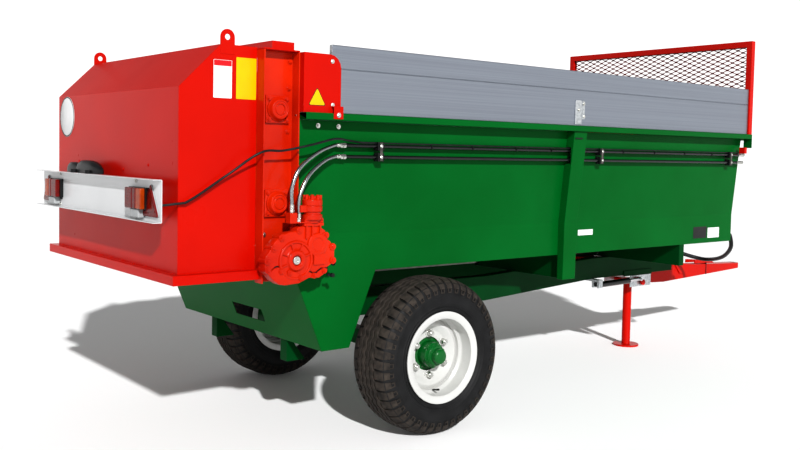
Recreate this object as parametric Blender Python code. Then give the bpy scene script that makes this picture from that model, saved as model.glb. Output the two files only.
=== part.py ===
"""A narrow single-axle manure spreader for vineyards, with two beaters under a rear hood.

Metres, +Z up, +X towards the drawbar, +Y to the left. Driving sizes are measured from the rear face
of the hood (x), the centre plane (y) and the ground (z). One empty then centres the machine on its own box.
"""

import math

import bmesh
import bpy
from mathutils import Matrix, Vector

# ---- driving dimensions: five overall sizes, and everything else is set out from them ------------
BODY_FRONT = 4.03  # front face of the load space
BODY_HALF = 0.68  # outer half width of the side sheets at the floor
TYRE_RADIUS = 0.38
TYRE_WIDTH = 0.264
BEATER_RADIUS = 0.165

GAP = 0.0003  # between solids that touch
SHEET = 0.004  # body and hood sheet
RUNNING_GAP = 0.0015  # between a turning shaft and its bore
SIDES = (("right", -1), ("left", 1))

# wheels and axle
AXLE_X = 1.31
AXLE_SIDE = 0.08
AXLE_SEAT = 0.06  # half length of the seat under each rail
WHEEL_TRACK = 2 * BODY_HALF + 0.06
RIM_RADIUS = 0.2235  # at the flange
RIM_WIDTH = TYRE_WIDTH - 0.014
STUB_RADIUS = 0.03
STUB_REACH = 0.04  # past the middle of the wheel
HUB_PROFILE = [
    (0.11, 0), (0.11, 0.03), (0.103, 0.037), (0.078, 0.038), (0.074, 0.052), (0.055, 0.062), (-0.0003, 0.064),
    (-0.0003, 0.1275), (-0.016, 0.1275), (-0.016, 0.075), (-0.08, 0.058), (-0.08, STUB_RADIUS + RUNNING_GAP),
    (0.06, STUB_RADIUS + RUNNING_GAP), (0.06, 0),
]

# body
SIDE_BOTTOM_Z = 2 * TYRE_RADIUS + 0.047  # the body clears the tyres
BODY_REAR = 0.533
FOLD_Z = SIDE_BOTTOM_Z + 0.18  # the side sheet stands upright below this and leans out above it
SIDE_TOP_Z = FOLD_Z + 0.5057
SIDE_TOP_HALF = BODY_HALF + 0.048
ARCH_FRONT = AXLE_X - 0.8 * TYRE_RADIUS
SKIRT_FRONT = AXLE_X - TYRE_RADIUS - 0.07
SKIRT_REAR = SKIRT_FRONT - 0.152
SKIRT_BOTTOM_Z = SIDE_BOTTOM_Z - 0.352
SKIRT_CORNER_Z = SIDE_BOTTOM_Z + 0.07
RAIL_FRONT = BODY_FRONT + 0.026
RAIL_HALF = BODY_HALF + 0.114
RAIL_TOP_Z = SIDE_TOP_Z + 0.0303
RAIL_DEPTH = 0.03
POST_REAR = (BODY_REAR + BODY_FRONT) / 2
POST_WIDTH = 0.105
POST_BOTTOM_Z = SIDE_BOTTOM_Z - 0.135
POST_TOP_HALF = BODY_HALF + 0.1
POST_FOOT_HALF = BODY_HALF + 0.042
BOARD_REAR = 0.679
BOARD_FRONT = BODY_FRONT + 0.006
BOARD_TOP_Z = RAIL_TOP_Z + 0.298
BOARD_HALF = BODY_HALF + 0.089
BOARD_THICK = 0.025
GRILLE_X = BODY_FRONT + 0.0065
GRILLE_TUBE = 0.04
GRILLE_HALF = BODY_HALF + 0.099
GRILLE_TOP_Z = RAIL_TOP_Z + 0.617

# floor conveyor and its drive
CHAIN_RADIUS = 0.05
CHAIN_THICK = 0.014
CHAIN_WIDTH = 0.024
CHAIN_HALF = BODY_HALF - 0.18
DRIVE_X = 0.507
DRIVE_Z = SIDE_BOTTOM_Z + 0.035 + CHAIN_RADIUS
DRIVE_SHAFT = 0.018
IDLER_X = BODY_FRONT - 0.1
SLAT_HALF = BODY_HALF - 0.06
SLAT_THICK = 0.015
SLATS = 14
FLOOR_TOP_Z = DRIVE_Z + CHAIN_RADIUS - 0.015
FLOOR_THICK = 0.015
FLOOR_FRONT = IDLER_X - 0.06
FLOOR_REAR = DRIVE_X + 0.063
DRIVELINE_Z = SIDE_BOTTOM_Z - 0.095
CROSS_SHAFT_X = 0.7
PTO_END_X = BODY_FRONT + 0.11

# hood, columns and beaters
HOOD_HALF = BODY_HALF + 0.009
HOOD_BOTTOM_Z = SIDE_BOTTOM_Z + 0.006
HOOD_RIDGE_X = 0.185
LIP_OUT = 0.036
LIP_HEIGHT = 0.04
EYE_TAB_X = 0.213
EYE_TAB_RADIUS = 0.0325
EYE_TAB_HOLE = 0.0125
COLUMN_REAR = 0.353
COLUMN_FRONT = 0.529
COLUMN_HALF = BODY_HALF + 0.014  # outer face of the web
COLUMN_TIP = BODY_HALF + 0.067
COLUMN_WEB = 0.006
COLUMN_BOTTOM_Z = SIDE_BOTTOM_Z - 0.01
BEATER_X = 0.444
BEATER_LOW_Z = DRIVE_Z + CHAIN_RADIUS + BEATER_RADIUS + 0.026
BEATER_HIGH_Z = BEATER_LOW_Z + 2 * BEATER_RADIUS + 0.069
BEATER_CORE = 0.055
BEATER_SHAFT = 0.02
PADDLES = 14
COLUMN_TOP_Z = BEATER_HIGH_Z + BEATER_RADIUS + 0.08
HOOD_TOP_Z = COLUMN_TOP_Z + 0.01
HOOD_EDGE_Z = HOOD_TOP_Z - 0.182
BEAM_REAR = 0.406
BEAM_FRONT = 0.515
BEAM_TOP_Z = COLUMN_TOP_Z + 0.041
CHEEK_FRONT = 0.722
CHEEK_HALF = BODY_HALF + 0.097
CHEEK_CORNER = 0.06
CHEEK_TAB_Z = RAIL_TOP_Z - 0.025
HOUSING_SIDE = 0.116
HOUSING_RADIUS = 0.042

# floor gearbox and its hydraulic motor
GEARBOX_OUT = BODY_HALF + 0.132
GEARBOX_LARGE = (0.45, DRIVE_Z + 0.015, 0.117)  # x, z and radius
GEARBOX_SMALL = (0.585, DRIVE_Z + 0.02, 0.1)
GEARBOX_FLANGE = 0.009
MOTOR_X = 0.57
MOTOR_Y = BODY_HALF + 0.1125
MOTOR_RADIUS = 0.044
MOTOR_Z = DRIVE_Z + 0.16
PORT_Z = (0.045, 0.005)  # heights of the two hose ports above the motor's foot, rear one first

# chassis, drawbar and stand
CHASSIS_Z = (SIDE_BOTTOM_Z - 0.275, SIDE_BOTTOM_Z - 0.135)
CHASSIS_REAR = 0.69
CHASSIS_BEND = BODY_FRONT - 2.0
CHASSIS_TAPER = BODY_FRONT - 0.73
CHASSIS_NOSE = BODY_FRONT + 0.17
CHASSIS_WIDE = 0.06
RAIL_Y = BODY_HALF - 0.33
HANGER_BOTTOM_Z = SKIRT_BOTTOM_Z - 0.104
CROSS_MEMBER = 0.05
CROSS_MEMBERS = (("rear", 0.86), ("mid", POST_REAR + 0.03), ("front", BODY_FRONT - 0.58))
DRAWBAR_HALF = 0.05
EYE_X = BODY_FRONT + 1.16
EYE_Z = SIDE_BOTTOM_Z - 0.309
EYE_RADIUS = 0.05
EYE_HOLE = 0.0205
EYE_THICK = 0.04
STAND_X = BODY_FRONT - 0.2
STAND_Z = SIDE_BOTTOM_Z - 0.335
PLATE_Y = DRAWBAR_HALF + CHASSIS_WIDE + 2 * GAP  # inner face of the stand's two plates
PLATE_THICK = 0.006
LEG_RADIUS = 0.03
FOOT_RADIUS = 0.09
STAND_PIN = 0.012
CRANK = 0.06
CRANK_BACK = math.radians(60)  # how far behind upright the crank stands when the leg is down
CRANK_Y = -0.13
CYLINDER_X = STAND_X - 0.53
CYLINDER_Y = -0.15
CYLINDER_Z = STAND_Z + 0.022

# cross plate, lamp bar, pipes and hoses
PLATE_HOLE_Y = (-0.235, 0.05)
PLATE_HOLE_Z = (SKIRT_BOTTOM_Z + 0.069, SKIRT_BOTTOM_Z + 0.131)
BAR_X = -0.11
BAR_WEB_X = -0.07
BAR_HALF = BODY_HALF + 0.016
BAR_Z = (SIDE_BOTTOM_Z + 0.255, SIDE_BOTTOM_Z + 0.427)
BAR_THICK = 0.003
LAMP_Y = (0.41, 0.58)
PLATE_LAMP_Y = (-0.03, 0.33)
PIPE_HALF = BODY_HALF + 0.062
PIPE_Z = (SIDE_BOTTOM_Z + 0.5285, SIDE_BOTTOM_Z + 0.5784)
PIPE_RADIUS = 0.0085
PIPE_REAR = 0.76
CLAMP_X = (0.965, POST_REAR + 0.265, BODY_FRONT - 0.16)
MOTOR_HOSE = 0.009
FRONT_HOSE = 0.014
LAMP_CABLE = 0.005


# ---- materials -----------------------------------------------------------------------------------
def material(name, colour, roughness, metallic=0.0):
    made = bpy.data.materials.new(name)
    made.use_nodes = True
    shader = made.node_tree.nodes["Principled BSDF"]
    shader.inputs["Base Color"].default_value = (*colour, 1.0)
    shader.inputs["Roughness"].default_value = roughness
    shader.inputs["Metallic"].default_value = metallic
    return made


# ---- shapes, each returned as a bmesh in machine coordinates -------------------------------------
def box(low, high):
    shape = bmesh.new()
    bmesh.ops.create_cube(shape, size=1.0)
    for vertex in shape.verts:
        vertex.co = [a + (c + 0.5) * (b - a) for a, b, c in zip(low, high, vertex.co)]
    return shape


def side_box(side, low, high):
    """A box whose y limits are given for the left side and mirrored for the right."""
    first, second = sorted((side * low[1], side * high[1]))
    return box((low[0], first, low[2]), (high[0], second, high[2]))


def prism(outline, axis, start, end):
    """Extrude an outline, given in the two other coordinates in their own order, along one axis."""
    shape = bmesh.new()
    rings = []
    for level in sorted((start, end)):
        ring = []
        for pair in outline:
            point = list(pair)
            point.insert(axis, level)
            ring.append(shape.verts.new(point))
        rings.append(ring)
    for i, j in neighbours(len(outline)):
        shape.faces.new((rings[0][i], rings[0][j], rings[1][j], rings[1][i]))
    shape.faces.new(reversed(rings[0]))
    shape.faces.new(rings[1])
    bmesh.ops.recalc_face_normals(shape, faces=shape.faces)
    return shape


def neighbours(count):
    return [(i, (i + 1) % count) for i in range(count)]


def turned(profile, centre, axis, sides=24, outward=1.0):
    """Turn (along, radius) points about an axis: radius 0 closes it, and without any it is a ring."""
    shape = bmesh.new()
    others = [i for i in range(3) if i != axis]
    rows = []
    for along, radius in profile:
        row = []
        for step in range(sides if radius else 1):
            angle = 2 * math.pi * step / sides
            point = list(centre)
            point[axis] += along * outward
            point[others[0]] += radius * math.cos(angle)
            point[others[1]] += radius * math.sin(angle)
            row.append(shape.verts.new(point))
        rows.append(row)
    ring = all(radius for _, radius in profile)
    for first, second in zip(rows, rows[1:] + rows[:1] if ring else rows[1:]):
        for i, j in neighbours(sides):
            corners = [first[i % len(first)], first[j % len(first)]]
            corners += [second[j % len(second)], second[i % len(second)]]
            corners = list(dict.fromkeys(corners))
            if len(corners) > 2:
                shape.faces.new(corners)
    bmesh.ops.recalc_face_normals(shape, faces=shape.faces)
    return shape


def rod(start, end, radius, sides=16):
    """A round bar between two points."""
    start, end = Vector(start), Vector(end)
    shape = bmesh.new()
    length = (end - start).length
    bmesh.ops.create_cone(
        shape, cap_ends=True, segments=sides, radius1=radius, radius2=radius, depth=length
    )
    turn = Vector((0, 0, 1)).rotation_difference(end - start).to_matrix().to_4x4()
    shape.transform(Matrix.Translation((start + end) / 2) @ turn)
    return shape


def cross_rod(x, z, start, end, radius, sides=16):
    """A round bar across the machine, from one y to another."""
    return rod((x, start, z), (x, end, z), radius, sides)


def belt(first, second, grow=0.0, steps=8):
    """The outline of a belt round two circles, each given as x, z and radius."""
    (x1, z1, r1), (x2, z2, r2) = first, second
    line = math.atan2(z2 - z1, x2 - x1)
    lean = math.acos((r1 - r2) / math.hypot(x2 - x1, z2 - z1))
    points = []
    for x, z, radius, start, span in (
        (x2, z2, r2 + grow, line - lean, 2 * lean),
        (x1, z1, r1 + grow, line + lean, 2 * math.pi - 2 * lean),
    ):
        for step in range(steps + 1):
            angle = start + span * step / steps
            points.append((x + radius * math.cos(angle), z + radius * math.sin(angle)))
    return points


# ---- parts ---------------------------------------------------------------------------------------
def scratch(shape, collection=None):
    mesh = bpy.data.meshes.new("scratch")
    shape.to_mesh(mesh)
    shape.free()
    obj = bpy.data.objects.new("scratch", mesh)
    (collection or bpy.context.scene.collection).objects.link(obj)
    return obj


def combined(base, shapes, operation):
    """Boolean all the shapes into the base object and keep the plain mesh."""
    if not shapes:
        return
    tools = bpy.data.collections.new("tools")
    bpy.context.scene.collection.children.link(tools)
    for shape in shapes:
        scratch(shape, tools)
    modifier = base.modifiers.new("combined", "BOOLEAN")
    modifier.operation = operation
    modifier.solver = "EXACT"
    modifier.operand_type = "COLLECTION"
    modifier.collection = tools
    graph = bpy.context.evaluated_depsgraph_get()
    mesh = bpy.data.meshes.new_from_object(base.evaluated_get(graph))
    base.modifiers.clear()
    base.data = mesh
    for tool in list(tools.objects):
        bpy.data.objects.remove(tool)
    bpy.data.collections.remove(tools)


def part(name, finish, shapes, cuts=(), pivot=(0, 0, 0), parent=None):
    """One named piece: its shapes are welded together, the cuts are taken out, and it hangs on its pivot."""
    obj = scratch(shapes[0])
    combined(obj, shapes[1:], "UNION")
    combined(obj, cuts, "DIFFERENCE")
    obj.name = name
    obj.data.name = name
    obj.data.transform(Matrix.Translation(-Vector(pivot)))
    obj.data.materials.clear()
    obj.data.materials.append(finish)
    obj.data.shade_smooth()
    obj.data.set_sharp_from_angle(angle=math.radians(35))
    obj.parent = parent or MACHINE
    if parent is None:
        obj.location = pivot


def hose(name, finish, route, radius, spacing):
    """A tube along a smooth curve through the route's points."""
    points = smooth_points(route, spacing)
    curve = bpy.data.curves.new(name, "CURVE")
    curve.dimensions = "3D"
    curve.bevel_depth = radius
    curve.bevel_resolution = 2
    curve.use_fill_caps = True
    spline = curve.splines.new("POLY")
    spline.points.add(len(points) - 1)
    for slot, point in zip(spline.points, points):
        slot.co = (*point, 1.0)
    curve.materials.append(finish)
    obj = bpy.data.objects.new(name, curve)
    bpy.context.scene.collection.objects.link(obj)
    obj.parent = MACHINE


def smooth_points(route, spacing):
    """Points on a Catmull-Rom curve through the route, whose first and last spans are straight ferrules."""
    stops = [Vector(p) for p in route]
    points = [stops[0]]
    for a, b, c, d in zip(stops, stops[1:], stops[2:], stops[3:]):
        steps = max(2, round((c - b).length / spacing))
        for step in range(steps):
            t = step / steps
            bend = (2 * a - 5 * b + 4 * c - d) * t**2 + (3 * b - a - 3 * c + d) * t**3
            points.append(0.5 * (2 * b + (c - a) * t + bend))
    return [*points, stops[-2], stops[-1]]


# ---- body ----------------------------------------------------------------------------------------
def side_half(z):
    """Outer half width of the side sheet at a height."""
    if z <= FOLD_Z:
        return BODY_HALF
    return BODY_HALF + (SIDE_TOP_HALF - BODY_HALF) * (z - FOLD_Z) / (SIDE_TOP_Z - FOLD_Z)


def side_sheet(side):
    """The folded side sheet with its rear skirt and the cut-out for the wheel."""
    lower = [
        (BODY_REAR, FOLD_Z),
        (BODY_FRONT, FOLD_Z),
        (BODY_FRONT, SIDE_BOTTOM_Z),
        (ARCH_FRONT, SIDE_BOTTOM_Z),
        (SKIRT_FRONT, SKIRT_BOTTOM_Z),
        (SKIRT_REAR, SKIRT_BOTTOM_Z),
        (BODY_REAR, SKIRT_CORNER_Z),
    ]
    upper = [(BODY_REAR, SIDE_TOP_Z), (BODY_FRONT, SIDE_TOP_Z)]
    shape = bmesh.new()

    def vertices(inset):
        return [shape.verts.new((x, side * (side_half(z) - inset), z)) for x, z in lower + upper]

    outer, inner = vertices(0), vertices(SHEET)
    count = len(lower)
    for ring in (outer, inner):
        shape.faces.new(ring[:count])
        shape.faces.new((ring[0], ring[1], ring[count + 1], ring[count]))
    edge = [1, 2, 3, 4, 5, 6, 0, count, count + 1]
    for i, j in zip(edge, edge[1:] + edge[:1]):
        shape.faces.new((outer[i], outer[j], inner[j], inner[i]))
    bmesh.ops.recalc_face_normals(shape, faces=shape.faces)
    return shape


def make_sides():
    shaft_hole = cross_rod(CROSS_SHAFT_X, DRIVELINE_Z, BODY_HALF - 0.08, BODY_HALF + 0.07, 0.03)
    for word, side in SIDES:
        part(f"side_panel_{word}", GREEN, [side_sheet(side)], [shaft_hole] if side > 0 else ())
        make_top_rail(word, side)
        make_mid_post(word, side)
        low = (BOARD_REAR, BOARD_HALF - BOARD_THICK, RAIL_TOP_Z + GAP)
        part(f"side_board_{word}", ALUMINIUM, [side_box(side, low, (BOARD_FRONT, BOARD_HALF, BOARD_TOP_Z))])


def make_top_rail(word, side):
    """The folded rail on the side sheet, with a plate closing its front end."""
    lip = RAIL_HALF - SHEET
    foot = SIDE_TOP_HALF - SHEET
    outline = [
        (foot, RAIL_TOP_Z),
        (RAIL_HALF, RAIL_TOP_Z),
        (RAIL_HALF, RAIL_TOP_Z - RAIL_DEPTH),
        (lip, RAIL_TOP_Z - RAIL_DEPTH),
        (lip, RAIL_TOP_Z - SHEET),
        (foot + SHEET, RAIL_TOP_Z - SHEET),
        (foot + SHEET, SIDE_TOP_Z + GAP),
        (foot, SIDE_TOP_Z + GAP),
    ]
    rail = prism([(side * y, z) for y, z in outline], 0, BODY_REAR, RAIL_FRONT)
    low = (RAIL_FRONT - SHEET, RAIL_HALF - 0.06, RAIL_TOP_Z - 0.09)
    plate = side_box(side, low, (RAIL_FRONT, RAIL_HALF, RAIL_TOP_Z - 0.001))
    part(f"top_rail_{word}", GREEN, [rail, plate])


def make_mid_post(word, side):
    outline = [
        (SIDE_TOP_HALF + GAP, SIDE_TOP_Z),
        (POST_TOP_HALF, SIDE_TOP_Z),
        (POST_FOOT_HALF + 0.003, FOLD_Z),
        (POST_FOOT_HALF, POST_BOTTOM_Z),
        (BODY_HALF + GAP, POST_BOTTOM_Z),
        (BODY_HALF + GAP, FOLD_Z),
    ]
    front = POST_REAR + POST_WIDTH
    post = prism([(side * y, z) for y, z in outline], 0, POST_REAR, front)
    low = (POST_REAR - 0.02, BODY_HALF + 0.02, PIPE_Z[0] - 0.02)
    pipe_slot = side_box(side, low, (front + 0.02, PIPE_HALF + 0.0125, PIPE_Z[1] + 0.02))
    part(f"mid_post_{word}", GREEN, [post], [pipe_slot] if side < 0 else ())


def make_front():
    inner = [(side_half(z) - SHEET - GAP, z) for z in (SIDE_BOTTOM_Z, FOLD_Z, SIDE_TOP_Z)]
    outline = inner + [(-y, z) for y, z in reversed(inner)]
    wall = prism(outline, 0, BODY_FRONT - SHEET, BODY_FRONT)
    cover_z = DRIVE_Z + CHAIN_RADIUS + 0.025
    half = BODY_HALF - 0.02
    cover = box((FLOOR_FRONT, -half, cover_z), (BODY_FRONT - SHEET / 2, half, cover_z + SHEET))
    half = side_half(SIDE_TOP_Z - 0.01) - SHEET - 2 * GAP
    rail = box((BODY_FRONT - SHEET, -half, SIDE_TOP_Z - 0.01), (RAIL_FRONT + 0.02, half, RAIL_TOP_Z))
    part("front_wall", GREEN, [wall, cover, rail])
    make_grille()


def make_grille():
    low, top = RAIL_TOP_Z + GAP, GRILLE_TOP_Z
    front = GRILLE_X + GRILLE_TUBE
    inside = GRILLE_HALF - GRILLE_TUBE
    half = GRILLE_HALF - 0.01
    shapes = [
        box((GRILLE_X, -half, top - GRILLE_TUBE), (front, half, top)),
        box((GRILLE_X, -half, low), (front, half, low + GRILLE_TUBE)),
    ]
    shapes += [side_box(side, (GRILLE_X, inside, low), (front, GRILLE_HALF, top)) for _, side in SIDES]
    part("grille_frame", RED, shapes)
    middle = GRILLE_X + GRILLE_TUBE / 2
    low, top = low + GRILLE_TUBE + GAP, top - GRILLE_TUBE - GAP
    mesh = box((middle - 0.002, GAP - inside, low), (middle + 0.002, inside - GAP, top))
    part("grille_mesh", RED, [mesh])


def make_floor():
    half = BODY_HALF - SHEET - GAP
    deck = box((FLOOR_REAR, -half, FLOOR_TOP_Z - FLOOR_THICK), (FLOOR_FRONT, half, FLOOR_TOP_Z))
    part("floor", GREEN, [deck])

    slope = (SKIRT_REAR - BODY_REAR) / (SKIRT_BOTTOM_Z - SKIRT_CORNER_Z)
    top = SIDE_BOTTOM_Z - 0.01
    top_x = SKIRT_REAR + slope * (top - SKIRT_BOTTOM_Z)
    foot = [(SKIRT_REAR, SKIRT_BOTTOM_Z), (SKIRT_REAR + SHEET, SKIRT_BOTTOM_Z)]
    plate = prism([(top_x, top), *foot, (top_x + SHEET, top)], 1, -half, half)
    low = (BODY_REAR, PLATE_HOLE_Y[0], PLATE_HOLE_Z[0])
    hole = box(low, (SKIRT_FRONT, PLATE_HOLE_Y[1], PLATE_HOLE_Z[1]))
    part("rear_cross_plate", GREEN, [plate], [hole])


# ---- chassis -------------------------------------------------------------------------------------
def make_chassis():
    low, high = CHASSIS_Z
    half = CHASSIS_WIDE / 2
    nose_y = DRAWBAR_HALF + GAP + half
    for word, side in SIDES:
        line = [(CHASSIS_REAR, RAIL_Y), (CHASSIS_BEND, RAIL_Y)]
        line += [(CHASSIS_TAPER, nose_y), (CHASSIS_NOSE, nose_y)]
        outline = [(x, y - half) for x, y in line] + [(x, y + half) for x, y in reversed(line)]
        rail = prism([(x, side * y) for x, y in outline], 2, low, high)
        x, knee = SKIRT_REAR + SHEET + 0.001, SKIRT_BOTTOM_Z - 0.002
        outline = [(x, low + 0.02), (x, HANGER_BOTTOM_Z), (x + 0.105, HANGER_BOTTOM_Z), (x + 0.03, knee)]
        outline.append((x + 0.03, low + 0.02))
        hanger = prism(outline, 1, side * (RAIL_Y - half), side * (RAIL_Y + half))
        part(f"chassis_rail_{word}", GREEN, [rail, hanger])

    half = BODY_HALF - SHEET - GAP
    for word, x in CROSS_MEMBERS:
        member = box((x, -half, high + GAP), (x + CROSS_MEMBER, half, SIDE_BOTTOM_Z + 0.005))
        bore = rod((x - CROSS_MEMBER, 0, DRIVELINE_Z), (x + 2 * CROSS_MEMBER, 0, DRIVELINE_Z), 0.035)
        part(f"cross_member_{word}", GREEN, [member], [bore])
    make_axle()
    make_drawbar()


def make_axle():
    half = AXLE_SIDE / 2
    reach = WHEEL_TRACK / 2 - 0.1
    shapes = [box((AXLE_X - half, -reach, TYRE_RADIUS - half), (AXLE_X + half, reach, TYRE_RADIUS + half))]
    for _, side in SIDES:
        stub = WHEEL_TRACK / 2 + STUB_REACH
        shapes.append(cross_rod(AXLE_X, TYRE_RADIUS, side * (reach - 0.02), side * stub, STUB_RADIUS))
        low = (AXLE_X - AXLE_SEAT, RAIL_Y - CHASSIS_WIDE / 2, TYRE_RADIUS)
        high = (AXLE_X + AXLE_SEAT, RAIL_Y + CHASSIS_WIDE / 2, CHASSIS_Z[0] - GAP)
        shapes.append(side_box(side, low, high))
    part("axle_beam", GREEN, shapes)


def make_drawbar():
    """A beam between the nose of the two rails, tapering to the hitch ring."""
    rear, front = BODY_FRONT, EYE_X
    outline = [
        (rear - 0.73, EYE_Z + 0.169),
        (rear - 0.73, EYE_Z + 0.049),
        (rear - 0.08, EYE_Z + 0.039),
        (rear + 0.02, EYE_Z - 0.054),
        (rear + 0.16, EYE_Z - 0.06),
        (front - 0.07, EYE_Z - 0.024),
        (front + 0.01, EYE_Z - EYE_THICK / 2),
        (front + 0.01, EYE_Z + EYE_THICK / 2),
        (front - 0.07, EYE_Z + 0.024),
        (rear + 0.49, EYE_Z + 0.049),
        (rear + 0.2, EYE_Z + 0.1),
        (rear + 0.09, EYE_Z + 0.169),
    ]
    beam = prism(outline, 1, -DRAWBAR_HALF, DRAWBAR_HALF)
    half = EYE_THICK / 2
    eye = turned([(-half, 0), (-half, EYE_RADIUS), (half, EYE_RADIUS), (half, 0)], (EYE_X, 0, EYE_Z), 2, 32)
    hole = rod((EYE_X, 0, EYE_Z - 0.1), (EYE_X, 0, EYE_Z + 0.1), EYE_HOLE, 32)
    part("drawbar", RED, [beam, eye], [hole])


# ---- wheels --------------------------------------------------------------------------------------
def rim_profile():
    edge, seat, well = RIM_WIDTH / 2, RIM_RADIUS - 0.029, RIM_RADIUS - 0.0455
    outside = [
        (edge, RIM_RADIUS), (edge - 0.008, RIM_RADIUS), (edge - 0.011, seat), (0.06, seat), (0.045, well),
    ]
    inside = [(edge - 0.003, seat - 0.0075), (0.056, seat - 0.0075), (0.041, well - 0.007)]
    disc = [
        (0.012, well - 0.007), (0.026, 0.15), (0.002, 0.122), (0, 0.118), (0, 0.081), (0.01, 0.081),
        (0.01, 0.116), (0.034, 0.15), (0.022, well - 0.007),
    ]
    far_outside = [(-along, radius) for along, radius in reversed(outside)]
    far_inside = [(-along, radius) for along, radius in inside]
    return outside + far_outside + far_inside + disc + list(reversed(inside))


def tyre_profile():
    bead, side, crown = RIM_RADIUS - 0.0285, TYRE_WIDTH / 2, TYRE_RADIUS
    toe = RIM_WIDTH / 2 - 0.0113
    middle = (RIM_RADIUS + crown) / 2
    outer = [
        (toe, bead), (toe, RIM_RADIUS + 0.003), (side - 0.006, RIM_RADIUS + 0.022), (side, middle - 0.01),
        (side - 0.003, middle + 0.025), (side - 0.012, crown - 0.03), (side - 0.028, crown - 0.009),
        (side - 0.06, crown),
    ]
    inner = [
        (toe - 0.022, bead), (toe - 0.02, RIM_RADIUS + 0.02), (side - 0.024, middle),
        (side - 0.05, crown - 0.03),
    ]
    half = outer + [(-along, radius) for along, radius in reversed(outer)]
    return half + [(-along, radius) for along, radius in inner] + list(reversed(inner))


def make_wheels():
    for word, side in SIDES:
        centre = (AXLE_X, side * WHEEL_TRACK / 2, TYRE_RADIUS)
        axis = bpy.data.objects.new(f"wheel_{word}_axis", None)
        bpy.context.scene.collection.objects.link(axis)
        axis.parent = MACHINE
        axis.location = centre
        for name, finish, profile, sides in (
            ("hub", GREEN, HUB_PROFILE, 24),
            ("rim", RIM_WHITE, rim_profile(), 40),
            ("tyre", RUBBER, tyre_profile(), 40),
        ):
            shape = turned(profile, centre, 1, sides, outward=side)
            part(f"{name}_{word}", finish, [shape], pivot=centre, parent=axis)


# ---- hood, columns and beaters -------------------------------------------------------------------
def make_hood():
    front = COLUMN_REAR - GAP
    half = HOOD_HALF - SHEET - GAP
    slope = (HOOD_TOP_Z - HOOD_EDGE_Z) / HOOD_RIDGE_X
    inset = SHEET * math.hypot(1, slope)
    back = [(0, HOOD_BOTTOM_Z), (0, HOOD_EDGE_Z), (HOOD_RIDGE_X, HOOD_TOP_Z), (front, HOOD_TOP_Z)]
    inside = [
        (front, HOOD_TOP_Z - SHEET),
        (HOOD_RIDGE_X + (inset - SHEET) / slope, HOOD_TOP_Z - SHEET),
        (SHEET, HOOD_EDGE_Z + slope * SHEET - inset),
        (SHEET, HOOD_BOTTOM_Z),
    ]
    part("hood_shell", RED, [prism(back + inside, 1, -half, half)])
    for word, side in SIDES:
        panel = prism([*back, (front, HOOD_BOTTOM_Z)], 1, side * (HOOD_HALF - SHEET), side * HOOD_HALF)
        eye_z = HOOD_TOP_Z + 0.03
        near, far = HOOD_HALF - SHEET, HOOD_HALF + 0.002
        low = (EYE_TAB_X - EYE_TAB_RADIUS, near, HOOD_TOP_Z - 0.04)
        tab = side_box(side, low, (EYE_TAB_X + EYE_TAB_RADIUS, far, eye_z))
        disc = cross_rod(EYE_TAB_X, eye_z, side * near, side * far, EYE_TAB_RADIUS, 24)
        hole = cross_rod(EYE_TAB_X, eye_z, side * (near - 0.1), side * (far + 0.1), EYE_TAB_HOLE, 20)
        part(f"hood_side_{word}", RED, [panel, tab, disc], [hole])
    inner, outer = HOOD_HALF + GAP, HOOD_HALF + LIP_OUT
    outline = [
        (-LIP_OUT, -outer), (front, -outer), (front, -inner), (-GAP, -inner),
        (-GAP, inner), (front, inner), (front, outer), (-LIP_OUT, outer),
    ]
    part("hood_lip", RED, [prism(outline, 2, HOOD_BOTTOM_Z, HOOD_BOTTOM_Z + LIP_HEIGHT)])


def make_columns():
    web, tip, thick = COLUMN_HALF, COLUMN_TIP, COLUMN_WEB
    outline = [
        (COLUMN_REAR, web - thick), (COLUMN_FRONT, web - thick), (COLUMN_FRONT, tip),
        (COLUMN_FRONT - thick, tip), (COLUMN_FRONT - thick, web), (COLUMN_REAR + thick, web),
        (COLUMN_REAR + thick, tip), (COLUMN_REAR, tip),
    ]
    start, half = web - thick / 2, HOUSING_SIDE / 2
    for word, side in SIDES:
        shapes = [prism([(x, side * y) for x, y in outline], 2, COLUMN_BOTTOM_Z, COLUMN_TOP_Z)]
        inside, outside = side * (web - 0.1), side * (tip + 0.02)
        cuts = [cross_rod(DRIVE_X, DRIVE_Z, inside, outside, DRIVE_SHAFT + 0.002)]
        for z in (BEATER_LOW_Z, BEATER_HIGH_Z):
            low = (BEATER_X - half, start, z - half)
            shapes.append(side_box(side, low, (BEATER_X + half, web + 0.014, z + half)))
            seat = side * (start + 0.001)
            shapes.append(cross_rod(BEATER_X, z, seat, side * (web + 0.036), HOUSING_RADIUS, 24))
            cuts.append(cross_rod(BEATER_X, z, inside, side * (web + 0.028), BEATER_SHAFT + RUNNING_GAP))
        part(f"beater_column_{word}", RED, shapes, cuts)
        make_cheek(word, side)

    low = COLUMN_TOP_Z + GAP
    half = COLUMN_TIP - 0.002
    part("top_beam", RED, [
        box((BEAM_REAR, 0.025 - half, low), (BEAM_FRONT, half - 0.025, BEAM_TOP_Z)),
        box((COLUMN_REAR, -half, low), (COLUMN_FRONT, half, low + 0.006)),
    ])


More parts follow.
